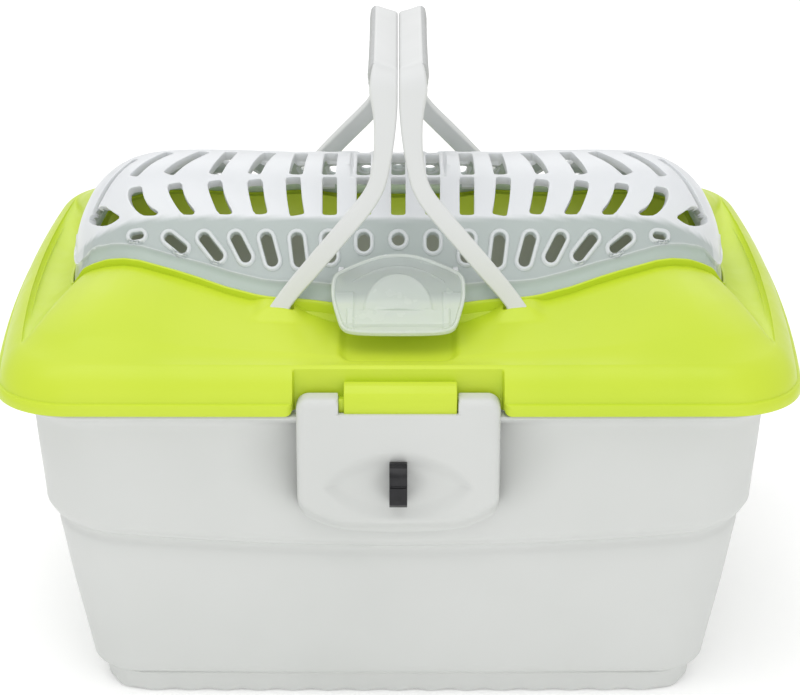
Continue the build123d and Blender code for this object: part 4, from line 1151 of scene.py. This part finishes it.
gx, gv = np.meshgrid(np.arange(-34, 34.1, 0.55), np.arange(-2, 62, 0.55))
G = np.column_stack([gx.ravel(), gv.ravel()])
G = G[inside(tab_out, G)]
G = G[dist_to(tab_out, G)[0] > 3.1]
tab_rings = [offset_in(tab_out, e) for e in (0.25, 0.55, 0.95, 1.3, 1.55, 1.8, 2.1, 2.7)]
v2, f2, _ = cdt(tab_out, [], tab_rings, G)
h = tab_height(v2)
dT, _ = dist_to(tab_out, v2)
edge_r = np.where(dT < 0.5, 0.45 * (1 - dT / 0.5), 0.0)
lift = 0.35


def tab_pt(P, h):
    yz = TB[None, :] + P[:, 1:2] * TDIR[None, :] + (h[:, None] if hasattr(h, "__len__") else h) * TN[None, :]
    return np.column_stack([P[:, 0], yz])


crown = 0.9 * np.clip(1 - (v2[:, 0] / 33.0) ** 2, 0, 1)
# paler towards the lower half, the rim and the half-round window; the paler rim is partly the thicker raised edge and
# partly a painted highlight line along the outline
pale_v = tab_uv(398, 300.0)[1]
paler = sstep((pale_v + 5.0 - v2[:, 1]) / 10.0)
win_v = tab_uv(398, 312.8)[1]
win = sstep((1.0 - np.hypot(v2[:, 0] / 18.9, (v2[:, 1] - win_v) / (tab_uv(398, 274.5)[1] - win_v))) / 0.08) * (v2[:, 1] > win_v)
paler = np.maximum(np.maximum(paler * 0.85, win * 0.62), (dT < 1.9) * 0.95)
top = tab_pt(v2, h + lift - edge_r + crown)
bot = tab_pt(v2, np.full(len(v2), -1.5) + crown + np.where(dT < 0.5, 0.3, 0.0))
bag = Bag()
V, F = shell(top, bot, f2)
tab_attr = list(np.concatenate([1.0 - paler, 1.0 - paler]))
bag.add(V, F)
# rear rib with the catch, and the barrel round the pin
bag.add(*prism([(-104.2, 221.0), (-101.6, 222.2), (-101.6, 210.6), (-104.2, 210.6)], 0, -11.5, 11.5, 0.5, 2))
bag.add(*prism(disc(-88.0, 228.6, 2.9, 28), 0, -28.0, 28.0, 0.5, 2))
tab_attr += [0.6] * (len(bag.V) - len(tab_attr))
build("flap_latch_tab", bag.V, bag.F, TABM, "latch", ("flap_latch",), angle=30.0, attrs={"lower": tab_attr})


# ------------------------------------------------------------------ handles
leg_o = np.array([(-72.4, 214.5), (-67.0, 222.0), (-60.3, 229.9), (-49.7, 241.0), (-39.5, 251.4), (-31.5, 259.8), (-23.4, 268.8),
                  (-18.4, 274.8), (-15.2, 281.0), (-13.2, 292.0), (-12.8, 302.0), (-13.2, 312.0), (-14.7, 320.0), (-15.7, 325.0), (-15.4, 329.0)])
leg_i = np.array([(-59.2, 214.5), (-58.5, 216.5), (-52.0, 224.0), (-44.0, 232.0), (-33.5, 243.4), (-23.0, 254.6), (-15.2, 263.2),
                  (-10.2, 270.0), (-7.2, 276.0), (-5.8, 280.3), (-3.6, 290.3), (-2.0, 300.3), (-1.0, 309.0), (-0.35, 318.0), (-0.35, 330.0)])


def smooth_curve(P):
    return chaikin(P, 3, closed=False)


so, si = smooth_curve(leg_o), smooth_curve(leg_i)


def leg_x(z):
    return float(np.interp(z, so[:, 1], so[:, 0])), float(np.interp(z, si[:, 1], si[:, 0]))


def section(xo, xi, ox, on, T, drop, r, n=5, flat=0.0):
    """Rounded outline in (x, depth): outer side xo, inner side xi, depth 0 at the outer face, T at the inner."""
    c = [(xo, 0.0), (xi, drop), (xi, T), (xo, T - flat)]
    out = []
    m = len(c)
    for k in range(m):
        p, a, b = np.array(c[k]), np.array(c[k - 1]), np.array(c[(k + 1) % m])
        u, w = a - p, b - p
        u, w = u / np.linalg.norm(u), w / np.linalg.norm(w)
        rr_ = min(r, 0.45 * np.linalg.norm(a - p), 0.45 * np.linalg.norm(b - p))
        p0, p1 = p + u * rr_, p + w * rr_
        for t in np.linspace(0, 1, n):
            out.append((1 - t) ** 2 * p0 + 2 * t * (1 - t) * p + t * t * p1)
    return np.array(out)


def make_bail():
    cl = 1 / math.hypot(1, 0.34)
    n_leg = np.array([-cl, 0.34 * cl])                # outward normal of the leg's face in (Y, Z)

    def back(z):
        """The foot sits further back than the straight line of the leg."""
        return 4.2 * float(sstep((262.0 - z) / 46.0))
    stations = []
    for z in (206.4, 206.9, 207.8, 209.4, 211.4, 213.4):
        h = math.sqrt(max(6.45 ** 2 - (212.5 - z) ** 2, 0.3))
        w = sstep((z - 209.0) / 5.0)
        xo, xi = leg_x(215.5)
        xo, xi = xo + 1.7, xi + 0.4
        stations.append(dict(o=np.array([-110 + 0.34 * (z - 210) + back(z), z]), n=n_leg, xo=(-65.9 - h) * (1 - w) + xo * w,
                             xi=(-65.9 + h) * (1 - w) + xi * w, T=4.4, drop=0.0, r=1.3))
    for z in np.concatenate([np.arange(215.5, 300, 2.6), np.arange(300, 324.1, 1.6)]):
        xo, xi = leg_x(z)
        k = sstep((z - 302.0) / 24.0)
        xo2, xi2 = leg_x(z + 0.404 * back(z))
        xo2, xi2 = xo2 + 0.42 * back(z), xi2 + 0.1 * back(z)
        stations.append(dict(o=np.array([-110 + 0.34 * (z - 210) + back(z), z]), n=n_leg, xo=xo2, xi=xi2, T=6.5 + 3.0 * k - back(z) * 0.5,
                             drop=0.0, r=1.5 + 0.5 * k))
    p0 = np.array([-110 + 0.34 * (324.5 - 210), 324.5])
    p1 = np.array([-110 + 0.34 * (338.2 - 210), 338.9])
    p2 = np.array([-58.0, 339.0])
    for t in np.linspace(0.04, 1, 12):
        o = (1 - t) ** 2 * p0 + 2 * t * (1 - t) * p1 + t * t * p2
        d = 2 * (1 - t) * (p1 - p0) + 2 * t * (p2 - p1)
        d /= np.linalg.norm(d)
        n = np.array([-d[1], d[0]])
        xo, xi = leg_x(min(o[1], 329.0))
        k = sstep(t)
        stations.append(dict(o=o, n=n, xo=xo * (1 - k) - 13.3 * k, xi=-0.35, T=9.5 + 8.5 * k, drop=5.0 * k, r=2.0))
    for y in np.arange(-54.0, 0.1, 4.5):
        stations.append(dict(o=np.array([y, 339.0]), n=np.array([0.0, 1.0]), xo=-13.3, xi=-0.35, T=18.6, drop=5.2, r=2.0))
    back = [dict(s, o=np.array([-s["o"][0], s["o"][1]]), n=np.array([-s["n"][0], s["n"][1]])) for s in reversed(stations) if s["o"][0] < -0.01]
    allst = stations + back
    V = []
    for s in allst:
        S = section(s["xo"], s["xi"], 0, 0, s["T"], s["drop"], s["r"])
        for x, dep in S:
            yz = s["o"] - s["n"] * dep
            V.append((x, yz[0], yz[1]))
    m = 20
    F = []
    for k in range(len(allst) - 1):
        for j in range(m):
            j2 = (j + 1) % m
            F.append((k * m + j, k * m + j2, (k + 1) * m + j2, (k + 1) * m + j))
    F.append(tuple(range(m)))
    F.append(tuple(reversed(range((len(allst) - 1) * m, len(allst) * m))))
    return V, F


def make_pad():
    """Knurled strip on the outer side of the grip: diagonal ribs like a laid cord."""
    Z0, Z1, Y0, Y1 = 322.4, 337.6, -62.0, 62.0
    ny, nz = 249, 25
    ys, zs = np.linspace(Y0, Y1, ny), np.linspace(Z0, Z1, nz)
    Yg, Zg = np.meshgrid(ys, zs, indexing="ij")
    ce = np.minimum(np.minimum(Yg - Y0, Y1 - Yg), np.minimum(Zg - Z0, Z1 - Zg))
    edge = np.clip(ce / 1.8, 0, 1)
    belly = 2.5 * np.sqrt(np.clip(1 - ((Zg - (Z0 + Z1) / 2) / 8.4) ** 2, 0, 1)) * (1.0 + 0.12 * (np.abs(Yg) / 62.0) ** 2)
    ph = (Yg + 0.75 * (Zg - 330)) * 2 * np.pi / 7.2
    ribs = 0.55 * np.abs(np.cos(ph / 2)) ** 0.7
    ph2 = (Yg - 1.6 * (Zg - 330)) * 2 * np.pi / 5.0
    ribs += 0.10 * np.cos(ph2)
    H = (belly - 0.55 + ribs) * np.sqrt(np.clip(1 - (1 - edge) ** 2, 0, 1)) + 0.2
    X = -13.35 - H
    front = np.stack([X, Yg, Zg], -1).reshape(-1, 3)
    back = np.stack([np.full_like(X, -12.6), Yg, Zg], -1).reshape(-1, 3)
    n = len(front)
    F = []
    for i in range(ny - 1):
        for j in range(nz - 1):
            a, b, c, d = i * nz + j, (i + 1) * nz + j, (i + 1) * nz + j + 1, i * nz + j + 1
            F.append((a, b, c, d))
            F.append((d + n, c + n, b + n, a + n))
    for i in range(ny - 1):
        for j in (0, nz - 1):
            a, b = i * nz + j, (i + 1) * nz + j
            F.append((a, b, b + n, a + n))
    for j in range(nz - 1):
        for i in (0, ny - 1):
            a, b = i * nz + j, i * nz + j + 1
            F.append((a, b, b + n, a + n))
    return np.concatenate([front, back]), F


VB, FB = make_bail()
VP, FP = make_pad()
for side, sx in (("left", 1.0), ("right", -1.0)):
    flip = np.array([sx, 1.0, 1.0])
    fb = FB if sx > 0 else [tuple(reversed(f)) for f in FB]
    build("bail_" + side, np.array(VB) * flip, fb, GREY_H, "handle_" + side, ("handle_" + side,), angle=42.0)
    build("grip_insert_" + side, VP * flip, FP, PAD, "handle_" + side, ("grip_pad_" + side,), angle=50.0)


# ------------------------------------------------------------------ lock knob
bag = Bag()
prof = [(-164.9, 152.6), (-169.0, 153.0), (-172.4, 151.8), (-175.2, 149.0), (-176.9, 145.4), (-177.3, 143.9), (-176.3, 143.3), (-176.4, 142.7),
        (-177.4, 142.3), (-177.5, 136.6), (-176.6, 132.8), (-174.2, 130.4), (-170.0, 129.2), (-164.9, 129.4)]
bag.add(*prism(prof, 0, -4.65, 4.65, 1.0, 4))
bag.add(*prism(disc(0.0, 141.0, 3.95, 28), 1, -166.0, -160.8, 0.3, 2))
bag.add(*prism([(-2.45, 138.55), (2.45, 138.55), (2.45, 143.45), (-2.45, 143.45)], 1, -161.0, -157.95, 0.2, 2))
build("thumb_turn", bag.V, bag.F, BLACK, "lock", ("lock_knob",), angle=30.0)

# ------------------------------------------------------------------ carried-over CAD nodes
for sx, sn in ((-1, "left"), (1, "right")):
    for sy, fn in ((-1, "front"), (1, "back")):
        V, F = prism([(sx * 66.0 + a, b) for a, b in disc(0.0, 212.3, 2.1, 24)], 1, min(sy * 98.9, sy * 105.2), max(sy * 98.9, sy * 105.2), 0.3, 2)
        build("pivot_pin_%s_%s" % (sn, fn), V, F, STEEL, "lid", ("handle_pin_%s_%s" % (sn, fn),), angle=30.0)

for node in ("flap_latch_pin", "lock_washer", "lock_screw", "lid_hinge_pin_left", "lid_hinge_pin_right", "flap_hinge_pin_left", "flap_hinge_pin_right"):
    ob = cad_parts[node]
    for s in ob.material_slots:
        s.material = STEEL
    if not ob.material_slots:
        ob.data.materials.append(STEEL)
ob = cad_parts["lock_cam"]
for s in ob.material_slots:
    s.material = CAM_MAT
if not ob.material_slots:
    ob.data.materials.append(CAM_MAT)

# ------------------------------------------------------------------ floor, light, camera
m, nt, bsdf = new_mat("pale_floor")
co = nt.nodes.new("ShaderNodeTexCoord").outputs["Object"]
nt.links.new(ramp(nt, noise(nt, co, 1.5), [(0.3, (0.955, 0.955, 0.953)), (0.7, (0.975, 0.975, 0.974))]), bsdf.inputs["Base Color"])
bsdf.inputs["Roughness"].default_value = 0.9
bsdf.inputs["Emission Color"].default_value = (1.0, 1.0, 1.0, 1.0)
bsdf.inputs["Emission Strength"].default_value = 0.14
bsdf.inputs["Specular IOR Level"].default_value = 0.05
bm = bmesh.new()
for a, b in ((-6.0, -4.0), (6.0, -4.0), (6.0, 9.0), (-6.0, 9.0)):
    bm.verts.new((a, b, 0.0))
bm.faces.new(bm.verts)
me = bpy.data.meshes.new("floor")
bm.to_mesh(me)
bm.free()
me.materials.append(m)
floor = bpy.data.objects.new("floor", me)
bpy.context.scene.collection.objects.link(floor)

world = bpy.data.worlds.new("studio")
bpy.context.scene.world = world
world.use_nodes = True
bg = next(n for n in world.node_tree.nodes if n.type == "BACKGROUND")
bg.inputs["Color"].default_value = (1.0, 1.0, 1.0, 1.0)
bg.inputs["Strength"].default_value = 0.78


def area(name, loc, target, size, power):
    d = bpy.data.lights.new(name, "AREA")
    d.shape = "RECTANGLE"
    d.size, d.size_y = size
    d.energy = power
    ob = bpy.data.objects.new(name, d)
    ob.location = loc
    ob.rotation_euler = (Vector(target) - Vector(loc)).to_track_quat("-Z", "Y").to_euler()
    bpy.context.scene.collection.objects.link(ob)
    return ob


area("key_top", (-0.25, -0.35, 1.75), (0.0, 0.0, 0.15), (1.9, 1.4), 11.0)
area("fill_front", (0.3, -2.3, 0.9), (0.0, 0.0, 0.12), (2.2, 1.4), 6.0)
area("rim_back", (0.0, 1.8, 1.3), (0.0, 0.0, 0.2), (2.0, 1.0), 5.0)

glow = bpy.data.lights.new("inside_glow", "POINT")
glow.energy = 0.13
glow.shadow_soft_size = 0.05
gob = bpy.data.objects.new("inside_glow", glow)
gob.location = (0.0, 0.0, 0.165)
gob.visible_camera = False
bpy.context.scene.collection.objects.link(gob)

cam = bpy.data.cameras.new("photo_view")
cam.lens = 112.5
cam.sensor_width = 36.0
cam.sensor_fit = "HORIZONTAL"
cam.shift_x = 0.002125
cam.clip_start, cam.clip_end = 0.05, 30.0
cob = bpy.data.objects.new("photo_view", cam)
cob.location = (0.0, -1.34695, 0.6953)
cob.rotation_euler = (math.radians(68.0), 0.0, 0.0)
bpy.context.scene.collection.objects.link(cob)
bpy.context.scene.camera = cob
bpy.context.scene.view_settings.view_transform = "Standard"
bpy.context.scene.view_settings.look = "None"
bpy.context.scene.view_settings.exposure = 0.0
bpy.context.scene.view_settings.gamma = 1.0
